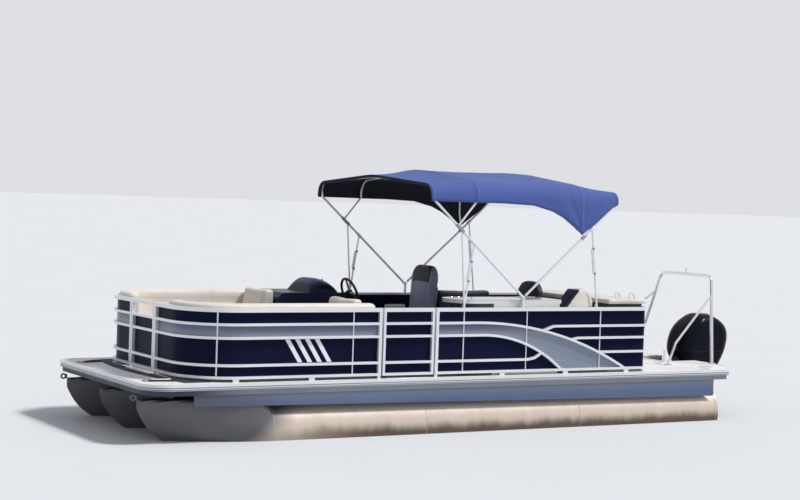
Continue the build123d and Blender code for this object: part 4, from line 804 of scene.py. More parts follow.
# Columns: side, place, aft face of the recliner, lines sewn across the seat
bow_lounges = (
    (1, "port", 1.265, (1.98, 2.50)),
    (-1, "starboard", 1.48, (2.10, 2.55)),
)
for side, place, recliner_x, seams in bow_lounges:
    seat_aft = recliner_x + recliner_foot + 0.002
    outline = [(seat_aft, side * (fence_half - seat_inset)), *bow_corner(seat_inset + 0.001, side)]
    outline += [(fence_bow - seat_inset - 0.001, side * seat_inner_y), (seat_aft, side * seat_inner_y)]
    seat = stuffed(f"bow_seat_{place}", outline, "XY", seat_low, seat_high, 0.024, cream_vinyl)
    sewn(seat, 0, seams)
    piping(f"bow_seat_piping_{place}", seat, round_run(outline, seat_high - 0.02), navy_vinyl)
    profile = [
        (recliner_x, seat_low), (recliner_x, recliner_high), (recliner_x + recliner_top, recliner_high),
        (recliner_x + recliner_foot, seat_high), (recliner_x + recliner_foot, seat_low),
    ]
    low_y, high_y = sorted((side * recliner_low_y, side * recliner_high_y))
    recliner = stuffed(f"recliner_{place}", profile, "XZ", low_y, high_y, 0.03, cream_vinyl)
    middle_y = (low_y + high_y) / 2
    front = recliner_x + (recliner_top + recliner_foot) / 2
    panel_seams = (middle_y - recliner_seam, middle_y + recliner_seam)
    sewn(recliner, 1, panel_seams, 0.005, 0.014, lambda v: v.co.x > front - 0.03)
    panel = [
        Vector((front + panel_lean, low_y + panel_side, panel_low)),
        Vector((front + panel_lean, high_y - panel_side, panel_low)),
        Vector((front - panel_lean, high_y - panel_side, panel_high)),
        Vector((front - panel_lean, low_y + panel_side, panel_high)),
    ]
    panel_run = []
    for first, second in zip(panel, panel[1:] + panel[:1]):
        panel_run += [first.lerp(second, index / panel_steps) for index in range(panel_steps)]
    piping(f"recliner_piping_{place}", recliner, panel_run + panel_run[:1], cream_vinyl)
    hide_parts("lounge_seats")
    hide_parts("lounge_backs")

# The bow backrests are long rolls of foam on a board that follow the fence round the corner,
# with a thicker roll sewn along the top and a seam every half metre.
back_middle_inset = 0.1075
back_end_round = 0.06
back_end_width = 0.25
back_end_height = 0.72
back_board_top = 1.0
back_seam_width = 0.014
back_seam_draw = 0.05
back_seams = (0.50, 1.02, 1.50, 2.02)
back_piping_z = 1.18
back_inner_y = 0.502
# Columns: place across the roll, height
back_section = (
    (0.056, 0.8604), (0.0625, 0.872), (0.0635, 0.94), (0.0638, 1.03), (0.0635, 1.12), (0.0605, 1.178),
    (0.0645, 1.204), (0.0652, 1.24), (0.061, 1.272), (0.044, 1.292), (0.016, 1.2985), (-0.016, 1.2985),
    (-0.044, 1.292), (-0.061, 1.272), (-0.0652, 1.24), (-0.0645, 1.204), (-0.056, 1.18), (-0.063, 1.158),
    (-0.065, 1.1), (-0.0652, 1.03), (-0.064, 0.95), (-0.06, 0.875), (-0.054, 0.8604),
)


def lengths_along(points):
    """How far each point of a run lies along it."""
    lengths = [0.0]
    for first, second in zip(points, points[1:]):
        lengths.append(lengths[-1] + (second - first).length)
    return lengths


def backrest(name, path, seams, grain):
    """A roll: its section goes along a path of (point, outward), drawn in at the seams and ends."""
    lengths = lengths_along([point for point, outward in path])
    total = lengths[-1]
    middle_z = sum(z for across, z in back_section) / len(back_section)
    made = bmesh.new()
    rings = []
    for (point, outward), length in zip(path, lengths):
        from_end = min(length, total - length)
        end = math.sqrt(max(0.0, 1 - (1 - min(1, from_end / back_end_round)) ** 2))
        pinch = min([1.0] + [abs(length - seam) / back_seam_width for seam in seams])
        size = (1 - back_seam_draw * (1 - pinch) ** 2) * (back_end_width + (1 - back_end_width) * end)
        rise = back_end_height + (1 - back_end_height) * end
        ring = []
        for across, height in back_section:
            lift = middle_z + (height - middle_z) * rise if height > back_board_top else height
            place = point + outward * across * size
            ring.append(made.verts.new((place.x, place.y, lift)))
        rings.append(ring)
    for ring, following in zip(rings, rings[1:]):
        for index in range(len(ring)):
            far = (index + 1) % len(ring)
            made.faces.new((ring[index], ring[far], following[far], following[index]))
    made.faces.new(rings[0])
    made.faces.new(rings[-1][::-1])
    bmesh.ops.recalc_face_normals(made, faces=made.faces)
    mesh = meshed(name, made)
    mesh.shade_smooth()
    shown = piece(name, mesh, grain, "hull")
    return shown


def spaced(points, step, seams):
    """Points at an even step, closer at ends and seams; each comes with its outward side."""
    lengths = lengths_along(points)
    total = lengths[-1]
    count = round(total / step)
    near_end = (0, 0.004, 0.012, 0.026, 0.045)
    stops = {*near_end, *(total - place for place in near_end)}
    stops |= {seam + shift for seam in seams for shift in (-0.016, -0.008, 0, 0.008, 0.016)}
    stops |= {total * index / count for index in range(count + 1)}
    path = []
    for stop in sorted(stops):
        index = max(i for i, length in enumerate(lengths[:-1]) if length <= stop + 1e-9)
        span = lengths[index + 1] - lengths[index]
        path.append(points[index].lerp(points[index + 1], (stop - lengths[index]) / span))
    result = []
    for index, place in enumerate(path):
        along = (path[min(index + 1, len(path) - 1)] - path[max(index - 1, 0)]).normalized()
        result.append((place, Vector((along.y, -along.x, 0))))
    return result


for (side, place), back_aft in zip(both_sides, (1.177, 1.477)):
    line = [Vector((back_aft, side * (fence_half - back_middle_inset), 0))]
    line += [Vector((x, y, 0)) for x, y in bow_corner(back_middle_inset, side, 16)]
    line.append(Vector((fence_bow - back_middle_inset, side * back_inner_y, 0)))
    path = [(point, outward * -side) for point, outward in spaced(line, 0.035, back_seams)]
    roll = backrest(f"bow_backrest_{place}", path, back_seams, cream_vinyl)
    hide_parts("lounge_backs")
    up_to_piping = Vector((0, 0, back_piping_z))
    top_run = [point - outward * 0.052 + up_to_piping for point, outward in path[4:-4]]
    piping(f"bow_backrest_piping_{place}", roll, top_run, cream_vinyl)


# Helm console: a navy moulding with a knee recess, a dark hood over the instruments, two round
# gauges, a row of switches and the throttle to starboard of the wheel.
console_finish = Finish("console_navy", shade(30, 38, 66), 0.36, 0.0, Specular_IOR_Level=0.12)
console_wave = console_finish.noise(2.4, 3)
console_finish.paint(console_wave, shade(22, 29, 52), shade(38, 48, 78))
console_finish.set("Roughness", 0.24 + 0.16 * console_wave)
console_finish.grain(280, 0.0003)
console_finish.on("helm_console")
hood_finish = Finish("console_hood", shade(22, 26, 42), 0.34, 0.0, Specular_IOR_Level=0.12)
# Painted highlight: the top of the hood is a lighter blue.
hood_highlight = hood_finish.z.rise(1.36, 1.425)
hood_finish.paint(hood_highlight, shade(20, 25, 44), shade(62, 80, 126))
hood_finish.set("Roughness", 0.22 + 0.2 * hood_finish.noise(60, 2))


def grid_faces(rows, columns):
    """The faces of a sheet of points laid out in rows."""
    width = columns + 1
    starts = [row * width + column for row in range(rows) for column in range(columns)]
    return [(start, start + width, start + width + 1, start + 1) for start in starts]


def curved(distance, curve):
    """Height of a dome: 1 at its top and 0 at its rim."""
    return (1 - distance ** curve[0]) ** curve[1]


hood_low, hood_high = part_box("console_hood")
hood_top_x = 0.93
hood_rise = 0.145
hood_edge_share = 0.86
hood_rows = 28
hood_columns = 24
# Columns: power of the distance from the top, power of the height
aft_curve = (2.2, 0.6)
fore_curve = (1.7, 0.9)
side_curve = (3.2, 0.45)
hood_points = []
for row in range(hood_rows + 1):
    x = hood_low[0] + (hood_high[0] - hood_low[0]) * (1 - math.cos(math.pi * row / hood_rows)) / 2
    reach = (hood_top_x - hood_low[0]) if x < hood_top_x else (hood_high[0] - hood_top_x)
    along = min(1, abs(x - hood_top_x) / reach)
    height = curved(along, aft_curve if x < hood_top_x else fore_curve)
    for column in range(hood_columns + 1):
        across = -math.cos(math.pi * column / hood_columns)
        fall = curved(abs(across), side_curve)
        half = (hood_high[1] - hood_low[1]) / 2 * (hood_edge_share + (1 - hood_edge_share) * height)
        y = (hood_low[1] + hood_high[1]) / 2 + half * across
        hood_points.append((x, y, hood_low[2] + 0.0006 + hood_rise * height * fall))
hood_mesh = bpy.data.meshes.new("console_hood_dome")
hood_mesh.from_pydata(hood_points, [], grid_faces(hood_rows, hood_columns))
hood_mesh.shade_smooth()
hood = piece("console_hood_dome", hood_mesh, hood_finish, "hull")
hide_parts("console_hood")
dash_normal = Vector((-0.678, 0, 0.735))
dash_side = Vector((0, 1, 0))
dash_up = dash_normal.cross(dash_side)
dial_finish = Finish("gauge_dial", shade(16, 17, 20), 0.35)
ring_profile = [(0.046, 0), (0.046, 0.010), (0.043, 0.013), (0.039, 0.011), (0.038, 0.006), (0, 0.006)]
dial_profile = [(0.0375, 0), (0.0375, 0.0004), (0, 0.0004)]
gauge_x = 0.628
gauge_z = 1.243
needle_angle = -0.9
# Columns: angle from the top of the dial, height above it, where the line starts and ends
dial_lines = [(math.radians(-120 + 30 * mark), 0.0006, 0.028, 0.035) for mark in range(9)]
dial_lines.append((needle_angle, 0.0012, -0.006, 0.027))
dial_marks = []
for index, gauge_y in enumerate((-0.585, -0.915)):
    centre = Vector((gauge_x, gauge_y, gauge_z))
    face = centre + dash_normal * 0.0066
    turned(f"gauge_ring_{index}", centre, dash_normal, ring_profile, chrome_finish, "hull")
    turned(f"gauge_face_{index}", face, dash_normal, dial_profile, dial_finish, "hull")
    for angle, height, start, end in dial_lines:
        ray = dash_up * math.cos(angle) + dash_side * math.sin(angle)
        dial_marks.append([face + dash_normal * height + ray * reach for reach in (start, end)])
mark_finish = Finish("gauge_marks", shade(230, 230, 226), 0.5)
rods("gauge_marks", dial_marks, 0.0007, mark_finish, "hull", 6)
switch_pitch = 0.028
switch_half = 0.010
for index in range(6):
    switch_y = -0.68 - switch_pitch * index
    switch_plan = box_outline(0.573, 0.597, switch_y - switch_half, switch_y + switch_half)
    slab(f"switch_{index}", switch_plan, "XY", 1.184, 1.222, 0.003, latch_finish, "hull")
throttle_plan = box_outline(0.66, 0.78, -1.09, -1.01)
slab("throttle_box", throttle_plan, "XY", 1.3003, 1.345, 0.010, latch_finish, "hull")
throttle_run = [(0.72, -1.005, 1.325), (0.715, -0.995, 1.345), (0.68, -0.99, 1.385), (0.672, -0.99, 1.392)]
rods("throttle_lever", [throttle_run], 0.007, chrome_finish, "hull")
knob_profile = [(0, 0), (0.012, 0.002), (0.018, 0.012), (0.018, 0.024), (0.012, 0.034), (0, 0.037)]
turned(
    "throttle_knob", (0.675, -0.99, 1.384), (-0.5, 0, 0.8), knob_profile,
    latch_finish, "hull",
)

# Steering wheel: a soft black rim on three brushed spokes, with a domed cap over the nut that
# holds it to its shaft.
wheel_centre = Vector((0.437, -0.75, 1.28))
wheel_rake = math.radians(20)
wheel_axis = Vector((-math.cos(wheel_rake), 0, math.sin(wheel_rake)))
wheel_finish = Finish("wheel_black", shade(20, 20, 22), 0.45)
rim_place = wheel_finish.node(
    "ShaderNodeVectorMath", {"operation": "DISTANCE"}, [wheel_finish.place, wheel_centre], "Value"
)
on_rim = rim_place.rise(0.146, 0.15)
wheel_finish.paint(on_rim, shade(150, 152, 156), shade(18, 18, 20))
wheel_finish.set("Metallic", 0.85 - 0.85 * on_rim)
wheel_finish.set("Roughness", 0.3 + 0.2 * on_rim)
wheel_finish.grain(340, 0.0004)
wheel_finish.on("steering_wheel")
cap_profile = [(0, 0.010), (0.018, 0.009), (0.030, 0.005), (0.034, 0), (0, 0)]
turned(
    "wheel_cap", wheel_centre + wheel_axis * 0.0203, wheel_axis, cap_profile,
    latch_finish, "helm_wheel",
)

# The two swivelling chairs: a foam seat in cream vinyl and a leaning back, in cream vinyl painted grey-blue
# as shade at the helm and navy beside it, with a navy headrest, on a cast plate that turns on the pedestal.
base_finish = Finish("chair_base", shade(120, 122, 126), 0.35, 0.8)
base_finish.set("Roughness", 0.3 + 0.15 * base_finish.noise(60, 2))
back_lean = math.radians(5)
seat_cut = 0.09
seat_bottom = 0.8905
seat_top = 1.048
seat_piping_z = 1.005
seat_seam = 0.14
back_seam = 0.13
back_gap = 0.08
back_foot_z = 0.90
back_bottom = 0.93
back_taper = 0.02
rest_height = 0.235
arm_inset = 0.012
arm_half = 0.026
arm_low = 1.085
arm_high = 1.138
plate_profile = [
    (0.0, 0.0), (0.108, 0.0), (0.108, 0.008), (0.09, 0.018), (0.05, 0.026), (0.05, 0.04), (0, 0.04)
]


def leaned(made, foot):
    """Tip a backrest aft about its foot."""
    turn = Matrix.Rotation(-back_lean, 4, "Y")
    made.data.transform(Matrix.Translation(foot) @ turn @ Matrix.Translation(-foot))


def rounded(half_low, half_high, bottom, top, corner, centre_y):
    """An upright outline in Y and Z, narrower or wider at the top, with round top corners."""
    outline = [(centre_y + half_low, bottom), (centre_y + half_high, top - corner)]
    for angle in (math.radians(30), math.radians(60), math.radians(90)):
        out = centre_y + half_high - corner + corner * math.cos(angle)
        outline.append((out, top - corner + corner * math.sin(angle)))
    return outline + [(2 * centre_y - y, z) for y, z in reversed(outline)]


# Columns: name, node, body, centre, behind, ahead, seat width, back width, back top, corner, arms
chairs = (
    ("helm", "helm_chair", "helm_seat", (-0.22, -0.75), 0.23, 0.27, 0.54, 0.5, 1.6, 0.14, True),
    ("companion", "companion_chair", "companion_seat", (-1.2, 0), 0.19, 0.25, 0.5, 0.46, 1.465, 0.17, False),
)
for name, node, body, (chair_x, chair_y), behind, ahead, width, back_width, back_top, corner, arms in chairs:
    back_vinyl = shaded_cream_vinyl if arms else navy_vinyl
    turned(
        f"{name}_swivel_plate", (chair_x, chair_y, 0.8505), (0, 0, 1), plate_profile,
        base_finish, body,
    )
    half = width / 2
    aft_x = chair_x - behind
    fore_x = chair_x + ahead
    aft_cut = seat_cut * 0.4
    seat_plan = [
        (aft_x, chair_y - half + seat_cut), (aft_x + aft_cut, chair_y - half),
        (fore_x - seat_cut, chair_y - half), (fore_x, chair_y - half + seat_cut),
        (fore_x, chair_y + half - seat_cut), (fore_x - seat_cut, chair_y + half),
        (aft_x + aft_cut, chair_y + half), (aft_x, chair_y + half - seat_cut),
    ]
    seat = stuffed(f"{name}_seat", seat_plan, "XY", seat_bottom, seat_top, 0.035, cream_vinyl, body)
    sewn(seat, 1, (chair_y - seat_seam, chair_y + seat_seam), 0.008, 0.02, upper)
    piping(f"{name}_seat_piping", seat, round_run(seat_plan, seat_piping_z), navy_vinyl, body)
    back_x = aft_x - back_gap
    back_foot = Vector((back_x, chair_y, back_foot_z))
    back_half = back_width / 2
    outline = rounded(back_half - back_taper, back_half, back_bottom, back_top - 0.006, corner, chair_y)
    back = stuffed(f"{name}_back", outline, "YZ", back_x + 0.004, back_x + 0.106, 0.034, back_vinyl, body)
    sewn(
        back, 1, (chair_y - back_seam, chair_y + back_seam), 0.007, 0.018,
        lambda v: v.normal.x > 0.3 and v.co.z < back_top - 0.24,
    )
    # The back shell is cream vinyl painted grey-blue as shade.
    outline = rounded(back_half - 0.05, back_half - 0.03, 0.92, back_top - 0.22, 0.05, chair_y)
    shell = slab(
        f"{name}_back_shell", outline, "YZ", back_x - 0.004, back_x + 0.012, 0.005,
        shaded_cream_vinyl, body,
    )
    rest_low = back_top - rest_height
    outline = rounded(back_half - 0.045, back_half - 0.035, rest_low, back_top - 0.002, corner * 0.8, chair_y)
    rest = stuffed(
        f"{name}_headrest", outline, "YZ", back_x - 0.003, back_x + 0.11, 0.03, navy_vinyl, body, 0.008
    )
    for part in (back, shell, rest):
        leaned(part, back_foot)
    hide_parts(node)
    if arms:
        for side, place in ((1, "left"), (-1, "right")):
            arm_y = chair_y + side * (half - arm_inset)
            outline = box_outline(aft_x + 0.02, aft_x + 0.29, arm_y - arm_half, arm_y + arm_half)
            stuffed(
                f"{name}_arm_{place}", outline, "XY", arm_low, arm_high, 0.018, cream_vinyl, body, 0.005
            )
            bracket = [(aft_x + 0.05, arm_y, 1.10), (aft_x + 0.045, arm_y, 1.0), (aft_x + 0.05, arm_y, 0.94)]
            rods(f"{name}_arm_bracket_{place}", [bracket], 0.012, base_finish, body)

# Port cabinet: white with two doors and steel handles, its rounded forward end painted dark navy as the shade
# beneath the counter's overhang; over it is a glossy moulded counter with cup holders let in.
cabinet_finish = Finish("cabinet_white", shade(214, 211, 203), 0.35, 0.0, Coat_Weight=0.15)
# The forward end under the counter is painted dark navy as shade.
shaded_forward_end = cabinet_finish.x.rise(-0.195, -0.190)
cabinet_face = cabinet_finish.mix(cabinet_finish.noise(3, 4), shade(218, 215, 207), shade(200, 197, 189))
cabinet_finish.paint(shaded_forward_end, cabinet_face, shade(26, 30, 48))
doors_middle = -0.60
doors_half = 0.205
door_gap = (0.0035 - abs(abs(cabinet_finish.x - doors_middle) - doors_half)).rise(0, groove_fade)
cabinet_finish.bump(1 - door_gap, 0.003)
cabinet_finish.on("cabinet")
counter_finish = Finish("counter_grey", shade(132, 146, 172), 0.16, 0.0, Coat_Weight=0.5)
swirl = counter_finish.noise(5, 5, (0.5, 1, 1))
counter_edge = counter_finish.z.rise(1.318, 1.333)
counter_top = counter_finish.mix(swirl, shade(150, 162, 184), shade(206, 212, 222))
counter_finish.paint(counter_edge, shade(216, 214, 208), counter_top)
counter_finish.set("Roughness", 0.12 + 0.12 * swirl)
counter_finish.on("counter")
holder_profile = [(0.046, 0), (0.046, 0.004), (0.043, 0.0055), (0.038, 0.004), (0.036, 0.001), (0, 0.001)]
holder_places = ((-0.02, 0.80), (0.10, 0.86), (-0.92, 0.78), (-0.80, 0.78))
for index, (holder_x, holder_y) in enumerate(holder_places):
    turned(
        f"cup_holder_{index}", (holder_x, holder_y, 1.3353), (0, 0, 1), holder_profile,
        chrome_finish, "hull",
    )
handle_bend = ((0.718, 1.08), (0.698, 1.085), (0.698, 1.155), (0.718, 1.16))
handle_runs = [[(handle_x, y, z) for y, z in handle_bend] for handle_x in (-0.64, -0.56)]
rods("cabinet_handles", handle_runs, 0.005, chrome_finish, "hull")

# Port aft seat, sewn in two panels, with a low back and a side bolster whose slanted front is
# faced in navy.
seat_plan = box_outline(-1.518, -1.064, 0.552, 0.958)
back_plan = box_outline(-1.648, -1.522, 0.552, 1.166)
aft_seat = stuffed("aft_seat", seat_plan, "XY", seat_low, 0.998, 0.026, cream_vinyl)
sewn(aft_seat, 1, (0.755,), 0.005, 0.014, upper)
stuffed("aft_low_back", back_plan, "XY", seat_low, 1.228, 0.03, cream_vinyl)
bolster_outline = [
    (-1.062, seat_low), (-1.062, 1.225), (-1.272, 1.452), (-1.335, 1.460), (-1.42, 1.400), (-1.473, 1.325),
    (-1.473, seat_low),
]
stuffed("aft_bolster", bolster_outline, "XZ", 0.962, 1.169, 0.03, cream_vinyl)
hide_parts("aft_seat_cushions")
bolster_front = [(-1.058, 1.19), (-1.066, 1.236), (-1.262, 1.449), (-1.296, 1.440), (-1.10, 1.19)]
stuffed("aft_bolster_face", bolster_front, "XZ", 0.966, 1.165, 0.012, navy_vinyl, puff=0.006)

# Sundeck: a base painted grey as the shade on its side, with a shaded gap under its lid, and a wide flat pad
# in three panels with a folded rail lying on it.
# The base's grey is painted shade on its side; above it is a painted shaded gap under the lid.
shaded_sundeck_base = Finish("sundeck_painted_shade", shade(150, 148, 148), 0.45)
lid_shade = shaded_sundeck_base.z.rise(1.236, 1.24)
base_tone = shaded_sundeck_base.mix(shaded_sundeck_base.noise(3, 4), shade(158, 154, 152), shade(136, 132, 132))
shaded_sundeck_base.paint(lid_shade, base_tone, shade(46, 44, 46))
shaded_sundeck_base.grain(260, 0.0004)
shaded_sundeck_base.on("sundeck_base")
pad_outline = [
    (-2.203, -0.472), (-1.647, -0.472), (-1.647, 1.196), (-2.12, 1.196), (-2.176, 1.17), (-2.203, 1.11)
]
pad = stuffed("sundeck_cushion", pad_outline, "XY", 1.2853, 1.343, 0.016, cream_vinyl, puff=0.009)
sewn(pad, 1, (0.08, 0.64), 0.005, 0.014, upper)
piping("sundeck_piping", pad, round_run(pad_outline, 1.318), cream_vinyl)
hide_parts("sundeck_pad")
# Columns: forward and to port of the rail's place, height
rail_bend = (
    (0, -0.06, 1.346), (0.015, -0.045, 1.385), (0.03, 0, 1.40), (0.05, 0.06, 1.388), (0.06, 0.10, 1.36),
    (0.062, 0.11, 1.346),
)
rail_places = ((-1.98, 0.93), (-2.13, 0.99))
rail_runs = [[(rail_x + x, rail_y + y, z) for x, y, z in rail_bend] for rail_x, rail_y in rail_places]
rods("folded_rail", rail_runs, 0.006, chrome_finish, "hull")

# Starboard lounge behind the helm chair: a bench of two panels in cream vinyl, with a navy back
# against the fence.
lounge_aft = -1.623
lounge_fore = -0.882
lounge_seam = (-1.25,)
seat_plan = box_outline(lounge_aft, lounge_fore, -1.038, -0.602)
back_plan = box_outline(lounge_aft, lounge_fore, -1.169, -1.042)
side_seat = stuffed("side_seat", seat_plan, "XY", seat_low, 0.988, 0.026, cream_vinyl)
sewn(side_seat, 0, lounge_seam)
side_back = stuffed("side_back", back_plan, "XY", seat_low, 1.298, 0.03, navy_vinyl)
sewn(side_back, 0, lounge_seam)
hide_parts("side_lounge_cushions")


# Sun canopy: one sheet of woven acrylic sewn over four bows and pulled tight fore and aft. It
# sags a little between the bows, and at the rear each side is drawn down to a point on the leg.
cloth_half = 1.225
# Columns: place, edge, corner and crown heights, corner radius
cloth_stations = (
    (0.624, 2.332, 2.500, 2.590, 0.14),
    (0.35, 2.332, 2.521, 2.631, 0.155),
    (0.08, 2.330, 2.540, 2.670, 0.17),
    (-0.25, 2.330, 2.545, 2.681, 0.175),
    (-0.62, 2.318, 2.550, 2.690, 0.18),
    (-0.86, 2.262, 2.550, 2.690, 0.19),
    (-1.00, 2.200, 2.550, 2.690, 0.20),
    (-1.14, 2.108, 2.540, 2.681, 0.20),
    (-1.24, 2.024, 2.530, 2.670, 0.20),
    (-1.40, 2.137, 2.511, 2.632, 0.165),
    (-1.56, 2.252, 2.492, 2.594, 0.13),
    (-1.702, 2.356, 2.476, 2.561, 0.10),
)
bow_places = (0.606, 0.08, -1.24, -1.69)
cloth_rows = 116
cloth_columns = 96
crown_radius = 2.5


def cloth_values(x):
    """Edge, corner, crown and radius of the cloth at a place along the boat."""
    for first, second in zip(cloth_stations, cloth_stations[1:]):
        if second[0] <= x <= first[0] + 1e-9:
            share = (first[0] - x) / (first[0] - second[0])
            return [a + (b - a) * share for a, b in zip(first[1:], second[1:])]
    return list(cloth_stations[-1][1:])


def cloth_section(x):
    """Even points across the cloth at a place, from the port hem to the starboard one."""
    edge, corner_z, crown_z, radius = cloth_values(x)
    slope = math.atan2(crown_z - corner_z, cloth_half)
    turn = math.pi / 2 - slope
    start = Vector((cloth_half, corner_z - radius * math.tan(turn / 2)))
    centre = start + Vector((-radius, 0))
    line = [Vector((cloth_half, edge))]
    if start.y > edge:
        line.append(start)
    for step in range(1, 13):
        angle = turn * step / 12
        line.append(centre + Vector((math.cos(angle), math.sin(angle))) * radius)
    crown_half = crown_radius * math.sin(slope)
    crown_top = crown_z - crown_radius * (1 / math.cos(slope) - 1)
    for step in range(9):
        y = crown_half * (1 - step / 8)
        line.append(Vector((y, crown_top - crown_radius + math.sqrt(crown_radius**2 - y * y))))
    line += [Vector((-p.x, p.y)) for p in reversed(line[:-1])]
    lengths = lengths_along(line)
    points = []
    index = 0
    for column in range(cloth_columns + 1):
        stop = lengths[-1] * column / cloth_columns
        while index < len(lengths) - 2 and lengths[index + 1] < stop:
            index += 1
        share = (stop - lengths[index]) / (lengths[index + 1] - lengths[index])
        points.append(line[index].lerp(line[index + 1], share))
    return points


cloth_inset = 0.0035
cloth_sag = 0.022
side_pull = 0.012
full_span = 0.9
fold_depth = 0.017
fold_count = 13
fold_reach = 0.75
fold_start = -0.55
fold_from_middle = 0.5
gather_x = -1.27
gather_z = 2.02
gather_size = 0.08
ridge_half = 0.016
ridge_height = 0.0012
front_x = cloth_stations[0][0]
rear_x = cloth_stations[-1][0]
rows = []
for row in range(cloth_rows + 1):
    x = front_x + (rear_x - front_x) * row / cloth_rows
    behind = max([b for b in bow_places if b <= x] or [bow_places[-1]])
    ahead = min([b for b in bow_places if b >= x] or [bow_places[0]])
    span = ahead - behind
    share = (x - behind) / span if span > 0 else 0
    sag = 4 * share * (1 - share) * min(1, span / full_span)
    ridge = max([0.0] + [1 - abs(x - b) / ridge_half for b in bow_places])
    placed = []
    for column, point in enumerate(cloth_section(x)):
        across = abs(2 * column / cloth_columns - 1)
        flat_part = 1 - across**4
        fold = 0.0
        if x < fold_start:
            toward = math.hypot(x - gather_x, point.y - gather_z)
            spread = math.atan2(point.y - gather_z, x - gather_x)
            fade = max(0.0, 1 - toward / fold_reach) * min(1, toward / gather_size)
            outer = max(0, across - fold_from_middle) / (1 - fold_from_middle)
            fold = fold_depth * math.sin(spread * fold_count) * fade * outer
        side = 1 if point.x > 0 else -1
        y = point.x - side * (cloth_inset + side_pull * sag * across**6 + abs(fold) * 0.5 + fold * 0.5)
        z = point.y - cloth_inset - (cloth_sag * sag - ridge_height * ridge) * flat_part
        placed.append((x, y, z))
    rows.append(placed)
cloth_mesh = bpy.data.meshes.new("canopy_cloth")
cloth_points = [place for row in rows for place in row]
cloth_mesh.from_pydata(cloth_points, [], grid_faces(cloth_rows, cloth_columns))

canopy_finish = Finish("canopy_cloth", shade(66, 88, 158), 0.85, 0.0, Sheen_Weight=0.1)
weave_pitch = 0.0016
thread = lattice(canopy_finish.x, canopy_finish.y, weave_pitch)
sun_fade = canopy_finish.noise(1.1, 4)
cloth_tone = canopy_finish.mix(sun_fade, shade(58, 78, 146), shade(78, 100, 172))
stitch_pitch = 0.007
seam_from_bow = 0.014
stitch_half = 0.0014
crease_half = 0.03
stitch = 0.0
crease = 0.0
for place in bow_places:
    from_bow = abs(canopy_finish.x - place)
    stitch = (stitch_half - abs(from_bow - seam_from_bow)).rise(0, 0.0008) + stitch
    crease = (crease_half - from_bow).rise(0, crease_half) + crease
stitch = stitch * ((canopy_finish.y % stitch_pitch) / stitch_pitch).rise(0.25, 0.35)
canopy_finish.paint(stitch * 0.6, cloth_tone, shade(40, 56, 110))
canopy_finish.set("Roughness", 0.78 + 0.14 * sun_fade)
pulls = canopy_finish.noise(3.2, 3, (0.35, 1, 1))
canopy_finish.bump(thread * 0.1 + pulls * 1.6 + crease * 0.7 - stitch * 0.05, 0.012, 0.8)
# The underside of the canopy is painted near-black navy as shade.
underside_shade_finish = Finish("canopy_underside_shade", shade(18, 22, 38), 0.9)
underside_shade_finish.paint(underside_shade_finish.noise(2, 3), shade(14, 17, 30), shade(26, 31, 50))
underside_shade_finish.bump(underside_shade_finish.noise(500, 1), 0.0006)
cloth_mesh.shade_smooth()
canopy = piece("canopy_cloth", cloth_mesh, canopy_finish, "hull")
cloth_mesh.materials.append(underside_shade_finish.material)
solidify = canopy.modifiers.new("cloth_thickness", "SOLIDIFY")
solidify.thickness = 0.0028
solidify.offset = -1
solidify.material_offset = 1
solidify.material_offset_rim = 0
applied(canopy)
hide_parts("canopy")
hem_inset = 0.0015
hem_runs = []
for column, inset in ((0, -hem_inset), (cloth_columns, hem_inset)):
    hem_runs.append([Vector(row[column]) + Vector((0, inset, 0)) for row in rows])
for row in (rows[0], rows[-1]):
    hem_runs.append([Vector(place) - Vector((0, 0, hem_inset)) for place in row])
hem = rods("canopy_hem", hem_runs, 0.0032, canopy_finish, "hull", 8)
pocket_depth = 0.0237
pocket_runs = []
for bow_x in (bow_places[0], bow_places[-1]):
    across = cloth_section(bow_x)
    run = []
    for index in range(1, cloth_columns):
        along = (across[index + 1] - across[index - 1]).normalized()
        middle = across[index] + Vector((-along.y, along.x)) * pocket_depth
        run.append((bow_x, middle.x, middle.y))
    pocket_runs.append(run)
# The bow pockets under the canopy take the same painted shade.
rods("canopy_bow_pockets", pocket_runs, 0.0152, underside_shade_finish, "hull", 12)

# The bows and struts meet in eye ends and slides: aluminium and grey nylon sleeves on the legs,
# a steel bolt at each pivot, and struts that lengthen and are held by clamps.
pivot = (-0.532, 1.36)
front_leg_top = (0.576, 2.33)
rear_leg_top = (-1.672, 2.335)
leg_y = 1.204
front_slope = (front_leg_top[1] - pivot[1]) / (front_leg_top[0] - pivot[0])
rear_slope = (rear_leg_top[1] - pivot[1]) / (rear_leg_top[0] - pivot[0])
nylon_finish = Finish("nylon_grey", shade(150, 153, 160), 0.45)
nylon_finish.grain(240, 0.0004)
sleeve_profile = [
    (0.0129, -0.032), (0.0165, -0.032), (0.0178, -0.028), (0.0178, 0.028), (0.0165, 0.032), (0.0129, 0.032)
]
# Columns: name, place on the leg, slope of the leg, finish
sleeves = (
    ("inner_front", 0.293, front_slope, nylon_finish),
    ("brace_front", 0.247, front_slope, nylon_finish),
    ("strut_front", 0.092, front_slope, bright_finish),
    ("inner_rear", -1.273, rear_slope, nylon_finish),
    ("strut_rear", -1.383, rear_slope, bright_finish),
)
for name, sleeve_x, slope, finish in sleeves:
    for side, place in both_sides:
        middle = (sleeve_x, side * leg_y, pivot[1] + slope * (sleeve_x - pivot[0]))
        turned(
            f"sleeve_{name}_{place}", middle, (1, 0, slope), sleeve_profile, finish,
            "hull", 20,
        )
strut_foot_z = 1.272
slide_ends = (0.42, 0.74)
slide_gap = 0.019
clamp_profile = [(0.0102, -0.012), (0.0150, -0.012), (0.0150, 0.012), (0.0102, 0.012)]
